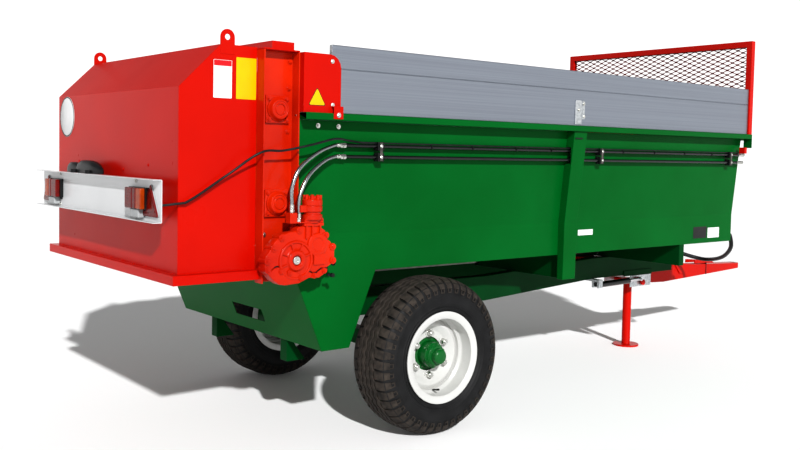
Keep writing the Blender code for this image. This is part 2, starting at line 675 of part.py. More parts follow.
def make_cheek(word, side):
    """The sheet that closes the corner between a column and the boards, with its tab over the rail."""
    rear, low, high = COLUMN_FRONT + SHEET, RAIL_TOP_Z + GAP, COLUMN_TOP_Z
    outline = [(rear, low), (CHEEK_FRONT, low)]
    for step in range(5):
        angle = math.radians(22.5 * step)
        turn = CHEEK_FRONT - CHEEK_CORNER + CHEEK_CORNER * math.cos(angle)
        outline.append((turn, high - CHEEK_CORNER + CHEEK_CORNER * math.sin(angle)))
    outline.append((rear, high))
    sheet = prism(outline, 1, side * (CHEEK_HALF - SHEET), side * CHEEK_HALF)
    tab_high = (CHEEK_FRONT, RAIL_HALF + GAP + SHEET, low + 0.03)
    tab = side_box(side, (CHEEK_FRONT - 0.05, RAIL_HALF + GAP, CHEEK_TAB_Z), tab_high)
    ledge_low = (CHEEK_FRONT - 0.05, CHEEK_HALF - SHEET, low + 0.03 - SHEET)
    ledge = side_box(side, ledge_low, (CHEEK_FRONT, RAIL_HALF + GAP + SHEET, low + 0.03))
    strip_low = (COLUMN_FRONT + GAP, COLUMN_TIP - 0.03, low)
    strip = side_box(side, strip_low, (COLUMN_FRONT + SHEET + GAP, CHEEK_HALF, high))
    part(f"side_cheek_{word}", RED, [sheet, tab, ledge, strip])


def make_beaters():
    half = COLUMN_HALF - COLUMN_WEB - 0.028
    end = COLUMN_HALF + 0.024
    for word, z, hand in (("lower", BEATER_LOW_Z, 1), ("upper", BEATER_HIGH_Z, -1)):
        shapes = [cross_rod(BEATER_X, z, -half, half, BEATER_CORE, 20)]
        shapes.append(cross_rod(BEATER_X, z, -end, end, BEATER_SHAFT))
        for i in range(PADDLES):
            y = half * (-0.95 + 1.9 * i / (PADDLES - 1))
            paddle = box((-0.022, -0.004, BEATER_CORE - 0.01), (0.022, 0.004, BEATER_RADIUS - 0.002))
            twist = Matrix.Rotation(hand * math.radians(25), 4, "Z")
            swing = Matrix.Rotation(hand * math.radians(78) * i, 4, "Y")
            paddle.transform(Matrix.Translation((BEATER_X, y, z)) @ swing @ twist)
            shapes.append(paddle)
        part(f"beater_{word}", RED, shapes, pivot=(BEATER_X, 0, z))


# ---- conveyor and drives -------------------------------------------------------------------------
def make_conveyor():
    shapes, cuts = [], []
    for _, side in SIDES:
        low, high = side * CHAIN_HALF - CHAIN_WIDTH / 2, side * CHAIN_HALF + CHAIN_WIDTH / 2
        rear, front = (DRIVE_X, DRIVE_Z, CHAIN_RADIUS), (IDLER_X, DRIVE_Z, CHAIN_RADIUS)
        shapes.append(prism(belt(rear, front, CHAIN_THICK / 2), 1, low, high))
        cuts.append(prism(belt(rear, front, -CHAIN_THICK / 2), 1, low - 0.01, high + 0.01))
    pitch = (IDLER_X - DRIVE_X) / SLATS
    for i in range(SLATS):
        x = DRIVE_X + pitch * (i + 0.5)
        for z in (DRIVE_Z + CHAIN_RADIUS + 0.004, DRIVE_Z - CHAIN_RADIUS - 0.004 - SLAT_THICK):
            shapes.append(box((x - 0.02, -SLAT_HALF, z), (x + 0.02, SLAT_HALF, z + SLAT_THICK)))
    part("floor_conveyor", STEEL, shapes, cuts)

    sprocket = CHAIN_RADIUS - CHAIN_THICK / 2 - 0.0006
    for name, x, reach in (
        ("conveyor_drive_shaft", DRIVE_X, COLUMN_TIP + 0.02),
        ("conveyor_idler_shaft", IDLER_X, BODY_HALF - 0.01),
    ):
        shapes = [cross_rod(x, DRIVE_Z, -reach, min(reach, COLUMN_HALF + 0.02), DRIVE_SHAFT)]
        for _, side in SIDES:
            y = side * CHAIN_HALF
            shapes.append(cross_rod(x, DRIVE_Z, y - 0.01, y + 0.01, sprocket))
        part(name, STEEL, shapes)


def make_drives():
    inside, out = COLUMN_TIP + GAP, GEARBOX_OUT
    large, small = GEARBOX_LARGE, GEARBOX_SMALL
    face = -MOTOR_Y - 0.018
    shapes = [
        prism(belt(large, small, 0, 10), 1, -inside, 0.02 - out),
        prism(belt(large, small, GEARBOX_FLANGE, 10), 1, 0.036 - out, 0.022 - out),
        cross_rod(large[0], large[1], -inside, -out, large[2] - 0.02, 28),
        cross_rod(small[0], small[1], -inside, 0.009 - out, small[2] - 0.024, 28),
        box((MOTOR_X - 0.04, 0.012 - out, small[1]), (MOTOR_X + 0.04, -inside - 0.002, MOTOR_Z - GAP)),
    ]
    bore = cross_rod(DRIVE_X, DRIVE_Z, -inside + 0.1, -COLUMN_TIP - 0.024, DRIVE_SHAFT + 0.001)
    part("floor_gearbox", RED, shapes, [bore])
    top = MOTOR_Z + 0.11
    steps = [(0, 0), (0, 0.03), (0.012, 0.03), (0.012, MOTOR_RADIUS), (top - MOTOR_Z, MOTOR_RADIUS)]
    steps += [(top - MOTOR_Z, 0.03), (top - MOTOR_Z + 0.022, 0.03), (top - MOTOR_Z + 0.022, 0)]
    ports = [
        box((MOTOR_X - 0.09, face, MOTOR_Z), (MOTOR_X, -inside - 0.004, MOTOR_Z + PORT_Z[1])),
        box((MOTOR_X - 0.121, face, MOTOR_Z), (MOTOR_X - 0.085, -inside - 0.004, MOTOR_Z + PORT_Z[0])),
    ]
    part("floor_motor", RED, [turned(steps, (MOTOR_X, -MOTOR_Y, MOTOR_Z), 2, 28), *ports])

    low, mid, high = SIDE_BOTTOM_Z - 0.175, BEATER_LOW_Z, BEATER_HIGH_Z
    hull = [
        (0.40, high + 0.08), (0.36, high), (0.36, mid - 0.021), (0.6, low), (0.75, low),
        (0.77, low + 0.08), (0.52, mid - 0.001), (0.52, high + 0.04), (0.49, high + 0.08),
    ]
    part("chain_guard", RED, [prism(hull, 1, inside, out)])

    low, high = DRIVELINE_Z - 0.075, DRIVELINE_Z + 0.085
    case = box((CROSS_SHAFT_X - 0.04, -0.075, low), (CROSS_SHAFT_X + 0.11, 0.075, high))
    part("rear_angle_gearbox", RED, [case, cross_rod(CROSS_SHAFT_X, DRIVELINE_Z, 0.06, COLUMN_TIP, 0.022)])
    start, stub = CROSS_SHAFT_X + 0.11 + GAP, PTO_END_X - 0.14
    part("driveline", STEEL, [
        rod((start, 0, DRIVELINE_Z), (stub, 0, DRIVELINE_Z), 0.025),
        rod((stub - 0.01, 0, DRIVELINE_Z), (PTO_END_X, 0, DRIVELINE_Z), 0.0175),
    ])


# ---- hydraulic pipes, hoses and lamps ------------------------------------------------------------
def make_pipes():
    shapes = []
    low, high = PIPE_Z
    for z, front in ((low, BODY_FRONT - 0.041), (high, BODY_FRONT - 0.025)):
        shapes.append(rod((PIPE_REAR, -PIPE_HALF, z), (front, -PIPE_HALF, z), PIPE_RADIUS, 12))
    for x in CLAMP_X:
        corner = (x + 0.018, -side_half(high + 0.02) - GAP, high + 0.02)
        shapes.append(box((x - 0.018, -PIPE_HALF - 0.018, low - 0.02), corner))
    part("hydraulic_pipes", BLACK, shapes)
    start, y = PIPE_REAR - GAP, -BODY_HALF
    outer_port, inner_port = MOTOR_Z + PORT_Z[0] + GAP, MOTOR_Z + PORT_Z[1] + GAP
    x1, x2 = MOTOR_X - 0.103, MOTOR_X - 0.067
    outer = [
        (start, -PIPE_HALF, high), (0.72, -PIPE_HALF, high), (0.607, y - 0.095, high - 0.034),
        (0.507, y - 0.11, high - 0.1), (x1, -MOTOR_Y, high - 0.18), (x1, -MOTOR_Y, outer_port + 0.035),
        (x1, -MOTOR_Y, outer_port),
    ]
    inner = [
        (start, -PIPE_HALF, low), (0.725, -PIPE_HALF, low), (0.648, y - 0.085, low - 0.02),
        (0.558, y - 0.105, low - 0.08), (x2 + 0.004, -MOTOR_Y, low - 0.165),
        (x2, -MOTOR_Y, inner_port + 0.035), (x2, -MOTOR_Y, inner_port),
    ]
    hose("motor_hose_1", HOSE, outer, MOTOR_HOSE, 0.02)
    hose("motor_hose_2", HOSE, inner, MOTOR_HOSE, 0.02)
    x, z = BODY_FRONT, SIDE_BOTTOM_Z
    front = [
        (x + GAP, y + 0.025, z + 0.035), (x + 0.03, y + 0.025, z + 0.035), (x + 0.09, y + 0.05, z - 0.055),
        (x + 0.2, y + 0.18, z - 0.14), (x + 0.32, y + 0.38, z - 0.185),
        (x + 0.27, -DRAWBAR_HALF - 0.13, z - 0.165), (x + 0.17, -DRAWBAR_HALF - 0.01, z - 0.12),
    ]
    hose("front_hoses", HOSE, front, FRONT_HOSE, 0.035)


def make_lamps():
    low, high = BAR_Z
    shapes = [
        box((BAR_WEB_X - BAR_THICK, -BAR_HALF, low), (BAR_WEB_X, BAR_HALF, high)),
        box((BAR_X, -BAR_HALF, low), (BAR_WEB_X, BAR_HALF, low + BAR_THICK)),
        box((BAR_X, -BAR_HALF, high - BAR_THICK), (BAR_WEB_X, BAR_HALF, high)),
    ]
    for _, side in SIDES:
        foot = (BAR_WEB_X - BAR_THICK / 2, 0.43, low + 0.04)
        shapes.append(side_box(side, foot, (-GAP, 0.47, high - 0.04)))
    part("lamp_bar", WHITE, shapes)
    back = BAR_WEB_X - BAR_THICK - GAP
    for word, side in SIDES:
        lamp = side_box(side, (back - 0.035, LAMP_Y[0], low + 0.048), (back, LAMP_Y[1], low + 0.133))
        part(f"rear_lamp_{word}", LENS_RED, [lamp])
    outline = [
        (BAR_WEB_X - 0.015, high + GAP), (-0.02, high + GAP), (-0.02, high + 0.03), (-0.045, high + 0.054),
        (BAR_WEB_X - 0.008, high + 0.05),
    ]
    part("plate_lamp", BLACK, [prism(outline, 1, *PLATE_LAMP_Y)])
    y, top = -BODY_HALF, PIPE_Z[1]
    route = [
        (BAR_WEB_X + 0.002, -BAR_HALF + 0.006, low + 0.07), (0.02, y - 0.03, low + 0.08),
        (0.2, y - 0.04, top - 0.133),
        (0.33, y - 0.085, top - 0.038), (0.44, y - 0.085, top - 0.028), (0.56, y - 0.11, top - 0.002),
        (0.7, y - 0.09, top + 0.027), (0.79, -PIPE_HALF, top + 0.022), (0.87, -PIPE_HALF, top + 0.0141),
        (CLAMP_X[0] - 0.0183, -PIPE_HALF, top + 0.0141),
    ]
    hose("lamp_cable", HOSE, route, LAMP_CABLE, 0.03)


# ---- stand ---------------------------------------------------------------------------------------
def make_stand():
    plates = []
    for _, side in SIDES:
        low = (STAND_X - 0.22, PLATE_Y, STAND_Z - 0.03)
        plates.append(side_box(side, low, (STAND_X + 0.12, PLATE_Y + PLATE_THICK, STAND_Z + 0.09)))
    bolt = cross_rod(STAND_X + 0.095, STAND_Z - 0.015, -PLATE_Y - 0.003, PLATE_Y + 0.003, 0.008, 12)
    bore = cross_rod(STAND_X, STAND_Z, -0.2, 0.2, STAND_PIN + 0.0005)
    part("stand_bracket", GALVANISED, [*plates, bolt], [bore])

    eye = crank_pin()
    near, far = CRANK_Y - 0.007, CRANK_Y + 0.007
    shapes = [
        rod((STAND_X, 0, 0.005), (STAND_X, 0, STAND_Z + 0.02), LEG_RADIUS, 24),
        rod((STAND_X, 0, 0), (STAND_X, 0, 0.012), FOOT_RADIUS, 32),
        cross_rod(STAND_X, STAND_Z, near + 0.002, PLATE_Y + 0.02, STAND_PIN),
        rod((STAND_X, CRANK_Y, STAND_Z), (eye.x, CRANK_Y, eye.z), 0.007, 8),
        cross_rod(eye.x, eye.z, near, far, 0.014),
        cross_rod(STAND_X, STAND_Z, near, far, 0.02),
    ]
    part("stand_leg", RED, shapes, pivot=(STAND_X, 0, STAND_Z))


def crank_pin():
    """Where the cylinder's rod eye meets the crank, with the leg down."""
    back, up = CRANK * math.sin(CRANK_BACK), CRANK * math.cos(CRANK_BACK)
    return Vector((STAND_X - back, CYLINDER_Y, STAND_Z + up))


def make_cylinder():
    tail = Vector((CYLINDER_X, CYLINDER_Y, CYLINDER_Z))
    eye = crank_pin()
    way = (eye - tail).normalized()
    length = (eye - tail).length
    y = CYLINDER_Y
    barrel = [
        rod(tail - way * 0.012, tail + way * 0.03, 0.012, 12),
        rod(tail + way * 0.025, tail + way * 0.34, 0.02, 20),
    ]
    bore = rod(tail + way * 0.1, tail + way * 0.5, 0.0115)
    hole = cross_rod(tail.x, tail.z, y - 0.05, y + 0.05, 0.0065, 12)
    part("stand_cylinder", BLACK, barrel, [bore, hole], pivot=tail)
    shapes = [
        rod(tail + way * 0.2, tail + way * (length - 0.008), 0.01),
        cross_rod(eye.x, eye.z, y - 0.008, y + 0.008, 0.014, 20),
        cross_rod(eye.x, eye.z, y - 0.014, y + 0.011, 0.007, 12),
    ]
    part("stand_cylinder_rod", STEEL, shapes, pivot=tail)
    top = CHASSIS_Z[0] - GAP
    rear, front = tail.x - 0.02, tail.x + 0.02
    shapes = [box((rear, y + 0.014, tail.z - 0.018), (front, y + 0.03, top))]
    shapes.append(box((rear, y - 0.03, tail.z - 0.018), (front, y - 0.014, top)))
    shapes.append(box((rear, y - 0.02, tail.z + 0.023), (front, -DRAWBAR_HALF - 0.01, top)))
    shapes.append(cross_rod(tail.x, tail.z, y - 0.034, y + 0.034, 0.006, 12))
    part("cylinder_anchor", GALVANISED, shapes)


# ---- build ---------------------------------------------------------------------------------------
for old in list(bpy.data.objects):
    bpy.data.objects.remove(old)

RED = material("red_paint", (0.75, 0.012, 0.0), 0.32)
GREEN = material("green_paint", (0.0, 0.15, 0.025), 0.35)
ALUMINIUM = material("aluminium", (0.27, 0.29, 0.33), 0.4, 1.0)
RIM_WHITE = material("rim_paint", (0.81, 0.81, 0.78), 0.35)
RUBBER = material("tyre_rubber", (0.02, 0.02, 0.02), 0.8)
STEEL = material("steel", (0.2, 0.2, 0.2), 0.4, 1.0)
GALVANISED = material("galvanised", (0.45, 0.46, 0.46), 0.45, 1.0)
BLACK = material("black_plastic", (0.012, 0.012, 0.014), 0.4)
HOSE = material("hose_rubber", (0.01, 0.01, 0.01), 0.5)
WHITE = material("white_paint", (0.85, 0.86, 0.88), 0.35)
LENS_RED = material("red_lens", (0.5, 0.01, 0.01), 0.15)

MACHINE = bpy.data.objects.new("machine", None)
bpy.context.scene.collection.objects.link(MACHINE)
MACHINE.location.x = -(BAR_X + EYE_X + EYE_RADIUS) / 2

make_sides()
make_front()
make_floor()
make_chassis()
make_wheels()
make_hood()
make_columns()
make_beaters()
make_conveyor()
make_drives()
make_pipes()
make_lamps()
make_stand()
make_cylinder()
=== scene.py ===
# The looks of a narrow manure spreader for vineyards: painted sheet, aluminium boards, treaded tyres, hoses
# and lamps.
# Places are in metres, measured from the hood's rear face, the centre plane and the ground.
import math

import bmesh
import bpy
from mathutils import Matrix, Vector


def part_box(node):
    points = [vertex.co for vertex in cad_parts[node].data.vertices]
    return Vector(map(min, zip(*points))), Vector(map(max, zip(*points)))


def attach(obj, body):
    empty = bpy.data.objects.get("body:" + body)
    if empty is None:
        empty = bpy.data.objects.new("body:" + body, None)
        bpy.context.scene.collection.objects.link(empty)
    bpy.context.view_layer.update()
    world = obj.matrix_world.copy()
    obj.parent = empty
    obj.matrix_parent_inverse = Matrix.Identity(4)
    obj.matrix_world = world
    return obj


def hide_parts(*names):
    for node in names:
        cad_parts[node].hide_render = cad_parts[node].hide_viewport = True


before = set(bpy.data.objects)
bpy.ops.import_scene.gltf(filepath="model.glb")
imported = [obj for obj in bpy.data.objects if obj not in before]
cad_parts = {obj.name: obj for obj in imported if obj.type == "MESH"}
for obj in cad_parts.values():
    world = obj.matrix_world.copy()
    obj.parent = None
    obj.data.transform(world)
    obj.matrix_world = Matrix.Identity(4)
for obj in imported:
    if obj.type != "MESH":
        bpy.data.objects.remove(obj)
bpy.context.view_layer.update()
print("frame loaded")

scene = bpy.context.scene
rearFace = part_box("hood_shell")[0].x  # where the measured x starts in the frame
sides = (("right", -1), ("left", 1))


def at(x, y, z):
    return Vector((x + rearFace, y, z))


def linked(name, data):
    made = bpy.data.objects.new(name, data)
    scene.collection.objects.link(made)
    return made


# camera: degrees from the machine's length, degrees below level, and the lens in millimetres
view = {
    "place": (-1.6264, -4.0886, 1.3644),
    "heading": 50.8838,
    "down": 3.0264,
    "roll": 1.1762,
    "lens": 41.504,
    "shiftY": -0.03115,
}


def makeCamera():
    heading, down, roll = (math.radians(view[key]) for key in ("heading", "down", "roll"))
    ahead = Vector((math.cos(heading) * math.cos(down), math.sin(heading) * math.cos(down), -math.sin(down)))
    level = Vector((math.sin(heading), -math.cos(heading), 0))
    below = ahead.cross(level)
    right = level * math.cos(roll) - below * math.sin(roll)
    under = below * math.cos(roll) + level * math.sin(roll)
    camera = linked("camera", bpy.data.cameras.new("camera"))
    turned = Matrix((right, -under, -ahead)).transposed().to_4x4()
    camera.matrix_world = Matrix.Translation(at(*view["place"])) @ turned
    camera.data.sensor_width = 36
    camera.data.lens = view["lens"]
    camera.data.shift_y = view["shiftY"]
    camera.data.clip_end = 100
    scene.camera = camera


makeCamera()


# materials
def linear(hexColour):
    channels = [int(hexColour[i : i + 2], 16) / 255 for i in (1, 3, 5)]
    return [c / 12.92 if c <= 0.04045 else ((c + 0.055) / 1.055) ** 2.4 for c in channels] + [1.0]


def addNode(tree, kind, inputs=None, **settings):  # an input is a value, or what another node gives
    node = tree.nodes.new(kind)
    for key, value in settings.items():
        setattr(node, key, value)
    for key, value in (inputs or {}).items():
        if isinstance(value, bpy.types.NodeSocket):
            tree.links.new(value, node.inputs[key])
        else:
            node.inputs[key].default_value = value
    return node


def startMaterial(name, fixed):
    made = bpy.data.materials.new(name)
    made.use_nodes = True
    tree = made.node_tree
    shader = tree.nodes["Principled BSDF"]
    for key, value in fixed.items():
        shader.inputs[key].default_value = value
    place = addNode(tree, "ShaderNodeTexCoord")
    return made, tree, shader, place.outputs["Object"]


def cloud(tree, place, size, detail):  # noise whose patches are size millimetres across
    return addNode(tree, "ShaderNodeTexNoise", {"Scale": 1000 / size, "Detail": detail, "Vector": place})


def twoTone(tree, noise, low, high, start=0.3):  # a soft run between two colours
    ramp = addNode(tree, "ShaderNodeValToRGB", {"Fac": noise.outputs["Fac"]})
    for stop, position, colour in zip(ramp.color_ramp.elements, (start, 1 - start), (low, high)):
        stop.position, stop.color = position, linear(colour)
    return ramp.outputs["Color"]


def roughened(tree, noise, shader, low, high):
    spread = addNode(
        tree, "ShaderNodeMapRange", {"To Min": low, "To Max": high, "Value": noise.outputs["Fac"]},
    )
    tree.links.new(spread.outputs["Result"], shader.inputs["Roughness"])


def dimpled(tree, place, shader, layers):  # each layer is (size in mm, depth in mm)
    last = None
    for size, depth in layers:
        inputs = {"Distance": depth / 1000, "Height": cloud(tree, place, size, 0.0).outputs["Fac"]}
        if last:
            inputs["Normal"] = last
        last = addNode(tree, "ShaderNodeBump", inputs).outputs["Normal"]
    tree.links.new(last, shader.inputs["Normal"])


enamels = {  # sprayed on steel sheet: wet gloss, an orange peel drawn large so that it shows, and a slow wave
    "redEnamel": {"tones": ("#A60B00", "#B00E00"), "gloss": (0.24, 0.34), "shine": 0.1},
    # darker red for the grille mesh: painted shade of the backlit strands
    "meshRedPaintedShade": {"tones": ("#5E0500", "#720800"), "gloss": (0.34, 0.5), "shine": 0.1},
    "castingRed": {"tones": ("#960D00", "#BC2400"), "gloss": (0.26, 0.42), "coat": 0.12, "shine": 0.15},
    "greenEnamel": {"tones": ("#004E1A", "#00561F"), "gloss": (0.28, 0.38), "shine": 0.05, "wave": 0.2},
    # darker green for the frame under the body: painted shade of the underbody
    "frameGreenPaintedShade": {"tones": ("#003213", "#003D18"), "gloss": (0.34, 0.5), "shine": 0.05},
    "hubGreen": {"tones": ("#004A18", "#015A22"), "gloss": (0.22, 0.38), "coat": 0.2, "shine": 0.2},
    "rimWhite": {"tones": ("#B2B2AF", "#BDBDBB"), "gloss": (0.26, 0.36), "coat": 0.25, "shine": 0.3},
    "lampBarWhite": {"tones": ("#BBBCBD", "#C4C5C6"), "gloss": (0.25, 0.36), "coat": 0.15, "shine": 0.3},
    "pipeBlack": {"tones": ("#0A0B0C", "#101113"), "gloss": (0.2, 0.32), "coat": 0.3, "shine": 0.3},
}


def enamel(name):
    recipe = {"coat": 0.0, "wave": 0.0, **enamels[name]}
    fixed = {"Coat Weight": recipe["coat"], "Coat Roughness": 0.08, "Specular IOR Level": recipe["shine"]}
    made, tree, shader, place = startMaterial(name, fixed)
    colour = twoTone(tree, cloud(tree, place, 420, 3.0), *recipe["tones"])
    tree.links.new(colour, shader.inputs["Base Color"])
    roughened(tree, cloud(tree, place, 260, 4.0), shader, *recipe["gloss"])
    dimpled(tree, place, shader, [(7, 0.12), (900, recipe["wave"])] if recipe["wave"] else [(7, 0.12)])
    return made


metals = {
    # extruded aluminium, mill finish: soft grey with drawn lines along the plank
    "millAluminium": {
        "tones": ("#8E939D", "#999FA9"), "gloss": (0.36, 0.46), "grain": (1500, 3, 3), "bump": 0.015,
    },
    # hot-dip galvanised steel: blotchy pale grey
    "galvanised": {"tones": ("#A9AEB1", "#D5D8DA"), "gloss": (0.3, 0.5), "grain": (14, 14, 14), "bump": 0.05},
    # bright zinc plate on bolts and fittings
    "zincPlate": {"tones": ("#B9B9B4", "#DADAD6"), "gloss": (0.2, 0.36), "grain": (9, 9, 9), "bump": 0.02},
    # rolled bare steel of chain and slats: darker, with mill scale
    "bareSteel": {"tones": ("#4A4845", "#77746F"), "gloss": (0.36, 0.6), "grain": (40, 40, 40), "bump": 0.12},
    # stainless braid over the two motor hoses
    "braidedSleeve": {
        "tones": ("#6E7073", "#B2B4B6"), "gloss": (0.16, 0.26), "grain": (4, 4, 2), "bump": 0.2,
    },
    # ground piston rod, hard chromed
    "hardChrome": {"tones": ("#C9CBCE", "#DFE1E3"), "gloss": (0.08, 0.14), "grain": (6, 6, 6), "bump": 0.005},
}


def metal(name):
    recipe = metals[name]
    made, tree, shader, place = startMaterial(name, {"Metallic": 1.0})
    scale = {"Scale": [1000 / size for size in recipe["grain"]]}
    stretch = addNode(tree, "ShaderNodeMapping", {**scale, "Vector": place}).outputs["Vector"]
    noise = cloud(tree, stretch, 1000, 5.0)
    tree.links.new(twoTone(tree, noise, *recipe["tones"], 0.32), shader.inputs["Base Color"])
    roughened(tree, noise, shader, *recipe["gloss"])
    bump = addNode(
        tree, "ShaderNodeBump", {"Distance": recipe["bump"] / 1000, "Height": noise.outputs["Fac"]},
    )
    tree.links.new(bump.outputs["Normal"], shader.inputs["Normal"])
    return made


# plastics, rubbers and printed foil: size in mm of the cloud, and the fine grain's size and depth
moulded = {
    "sidewallRubber": {
        "tones": ("#0F0F10", "#1B1B1C"), "gloss": (0.5, 0.72), "cloud": 60, "grain": (3, 0.12),
    },
    "treadRubber": {
        "tones": ("#201D1B", "#3B3530"), "gloss": (0.72, 0.92), "cloud": 30, "grain": (2.5, 0.35),
    },
    "hoseRubber": {"tones": ("#131314", "#202022"), "gloss": (0.3, 0.45), "cloud": 40, "grain": (2, 0.03)},
    "blackPlastic": {"tones": ("#101011", "#191A1B"), "gloss": (0.28, 0.42), "cloud": 50, "grain": (2, 0.03)},
    "greyPlastic": {"tones": ("#8B8D8E", "#9C9E9F"), "gloss": (0.4, 0.52), "cloud": 50, "grain": (2, 0.03)},
    "redLens": {"tones": ("#4A0403", "#6B0704"), "gloss": (0.1, 0.18), "cloud": 30, "grain": (4, 0.2)},
    "amberLens": {"tones": ("#7A2603", "#983A06"), "gloss": (0.1, 0.18), "cloud": 30, "grain": (4, 0.2)},
    "reflexRed": {"tones": ("#5C0303", "#760605"), "gloss": (0.14, 0.24), "cloud": 5, "grain": (4, 0.3)},
    "whiteFoil": {"tones": ("#C4C5C5", "#CFCFCF"), "gloss": (0.22, 0.3), "cloud": 90, "grain": (6, 0.01)},
    "yellowFoil": {"tones": ("#C9A200", "#D1AA02"), "gloss": (0.22, 0.3), "cloud": 90, "grain": (6, 0.01)},
    "blackFoil": {"tones": ("#151515", "#202020"), "gloss": (0.25, 0.35), "cloud": 90, "grain": (6, 0.01)},
    "redFoil": {"tones": ("#C5161D", "#D01C24"), "gloss": (0.22, 0.3), "cloud": 90, "grain": (6, 0.01)},
}


def moulding(name):
    recipe = moulded[name]
    fixed = {"Specular IOR Level": 0.2}
    if "Lens" in name:  # clear gloss over a deep colour
        fixed.update({"Coat Weight": 0.1, "Coat Roughness": 0.05})
    made, tree, shader, place = startMaterial(name, fixed)
    colour = twoTone(tree, cloud(tree, place, recipe["cloud"], 6.0), *recipe["tones"])
    tree.links.new(colour, shader.inputs["Base Color"])
    roughened(tree, cloud(tree, place, recipe["cloud"], 4.0), shader, *recipe["gloss"])
    dimpled(tree, place, shader, [recipe["grain"]])
    return made


finish = {name: enamel(name) for name in enamels}
finish.update({name: metal(name) for name in metals})
finish.update({name: moulding(name) for name in moulded})
print("materials made")


# shapes, each added to a bmesh in measured places
def addBox(shape, low, high, slot=0):
    made = bmesh.ops.create_cube(shape, size=1.0)["verts"]
    for vertex in made:
        vertex.co = [a + (c + 0.5) * (b - a) for a, b, c in zip(low, high, vertex.co)]
    for face in {face for vertex in made for face in vertex.link_faces}:
        face.material_index = slot
    return made


def sideBox(shape, side, low, high, slot=0):  # y is given for the left side
    first, second = sorted((side * low[1], side * high[1]))
    return addBox(shape, (low[0], first, low[2]), (high[0], second, high[2]), slot)


def addRings(shape, rings, slot=0, closed=False, caps=True):
    rows = [[shape.verts.new(point) for point in ring] for ring in rings]
    faces = []
    for first, second in zip(rows, rows[1:] + rows[:1] if closed else rows[1:]):
        count = len(first)
        for i in range(count):
            j = (i + 1) % count
            faces.append(shape.faces.new((first[i], first[j], second[j], second[i])))
    if caps and not closed:
        faces.append(shape.faces.new(reversed(rows[0])))
        faces.append(shape.faces.new(rows[-1]))
    for face in faces:
        face.material_index = slot
    bmesh.ops.recalc_face_normals(shape, faces=faces)
    return [vertex for row in rows for vertex in row]


# outline in the two other coordinates, in their order
def addPrism(shape, outline, axis, start, end, slot=0):
    rings = []
    for level in sorted((start, end)):
        ring = []
        for pair in outline:
            point = list(pair)
            point.insert(axis, level)
            ring.append(point)
        rings.append(ring)
    return addRings(shape, rings, slot)


def circle(centre, axis, radius, along, count, turn=0.0):
    others = [i for i in range(3) if i != axis]
    points = []
    for step in range(count):
        angle = turn + 2 * math.pi * step / count
        point = list(centre)
        point[axis] += along
        point[others[0]] += radius * math.cos(angle)
        point[others[1]] += radius * math.sin(angle)
        points.append(point)
    return points


def addTurned(shape, profile, centre, axis, count=48, slot=0, outward=1.0, closed=False):
    rings = [circle(centre, axis, max(radius, 1e-5), along * outward, count) for along, radius in profile]
    made = addRings(shape, rings, slot, closed)
    bmesh.ops.remove_doubles(shape, verts=made, dist=2e-5)


def addRod(shape, start, end, radius, count=20, slot=0, endRadius=None):
    start, end = Vector(start), Vector(end)
    made = bmesh.ops.create_cone(
        shape, cap_ends=True, segments=count, radius1=radius, radius2=endRadius or radius,
        depth=(end - start).length
    )["verts"]
    turn = Vector((0, 0, 1)).rotation_difference(end - start).to_matrix().to_4x4()
    bmesh.ops.transform(shape, matrix=Matrix.Translation((start + end) / 2) @ turn, verts=made)
    for face in {face for vertex in made for face in vertex.link_faces}:
        face.material_index = slot
    return made


def addPin(shape, x, z, start, end, radius, count=20, slot=0, endRadius=None):  # a rod across the machine
    addRod(shape, (x, start, z), (x, end, z), radius, count, slot, endRadius)


def objectFrom(name, shape):
    mesh = bpy.data.meshes.new(name)
    shape.to_mesh(mesh)
    shape.free()
    return linked(name, mesh)


def smoothed(mesh, sharp=35):
    mesh.shade_smooth()
    mesh.set_sharp_from_angle(angle=math.radians(sharp))


def dress(piece, body, stands=()):
    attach(piece, body)
    if stands:
        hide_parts(*stands)
    return piece


def makePiece(name, shape, finishes, body="frame", stands=(), bevel=0.0, segments=2, sharp=35):
    shape.transform(Matrix.Translation((rearFace, 0, 0)))
    piece = objectFrom(name, shape)
    for word in finishes.split():
        piece.data.materials.append(finish[word])
    smoothed(piece.data, sharp)
    if bevel:
        modifier = piece.modifiers.new("softened edges", "BEVEL")
        modifier.width = bevel
        modifier.segments = segments
        modifier.limit_method = "ANGLE"
        modifier.angle_limit = math.radians(35)
        modifier.harden_normals = True
    return dress(piece, body, stands)


def softened(nodes, word, bevel, body="frame"):
    for node in nodes:  # the solid's own shape with its edges rounded
        shape = bmesh.new()
        shape.from_mesh(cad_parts[node].data)
        bmesh.ops.remove_doubles(shape, verts=shape.verts, dist=1e-5)
        bmesh.ops.dissolve_limit(shape, angle_limit=math.radians(0.5), verts=shape.verts, edges=shape.edges)
        for layer in list(shape.loops.layers.float_vector):
            shape.loops.layers.float_vector.remove(layer)
        shape.transform(Matrix.Translation((-rearFace, 0, 0)))
        makePiece(f"{node}_{word}", shape, word, body, [node], bevel)


# geometry nodes: one tree repeats a piece along a step or round a turn, and one puts bolts at points
def startTree(name, kinds):  # the tree with its named inputs, and what the inputs give
    tree = bpy.data.node_groups.new(name, "GeometryNodeTree")
    tree.interface.new_socket("Geometry", in_out="OUTPUT", socket_type="NodeSocketGeometry")
    for word, kind in {"Geometry": "Geometry", **kinds, "Finish": "Material"}.items():
        tree.interface.new_socket(word, in_out="INPUT", socket_type=f"NodeSocket{kind}")
    return tree, addNode(tree, "NodeGroupInput").outputs


def result(*given, **settings):
    return addNode(*given, **settings).outputs[0]


def maths(tree, operation, *terms):
    return result(tree, "ShaderNodeMath", dict(enumerate(terms)), operation=operation)


def copiesAt(tree, points, piece, turn=None):
    links = {"Points": points, "Instance": piece}
    if turn:
        links["Rotation"] = turn
    copies = result(tree, "GeometryNodeInstanceOnPoints", links)
    return result(tree, "GeometryNodeRealizeInstances", {"Geometry": copies})


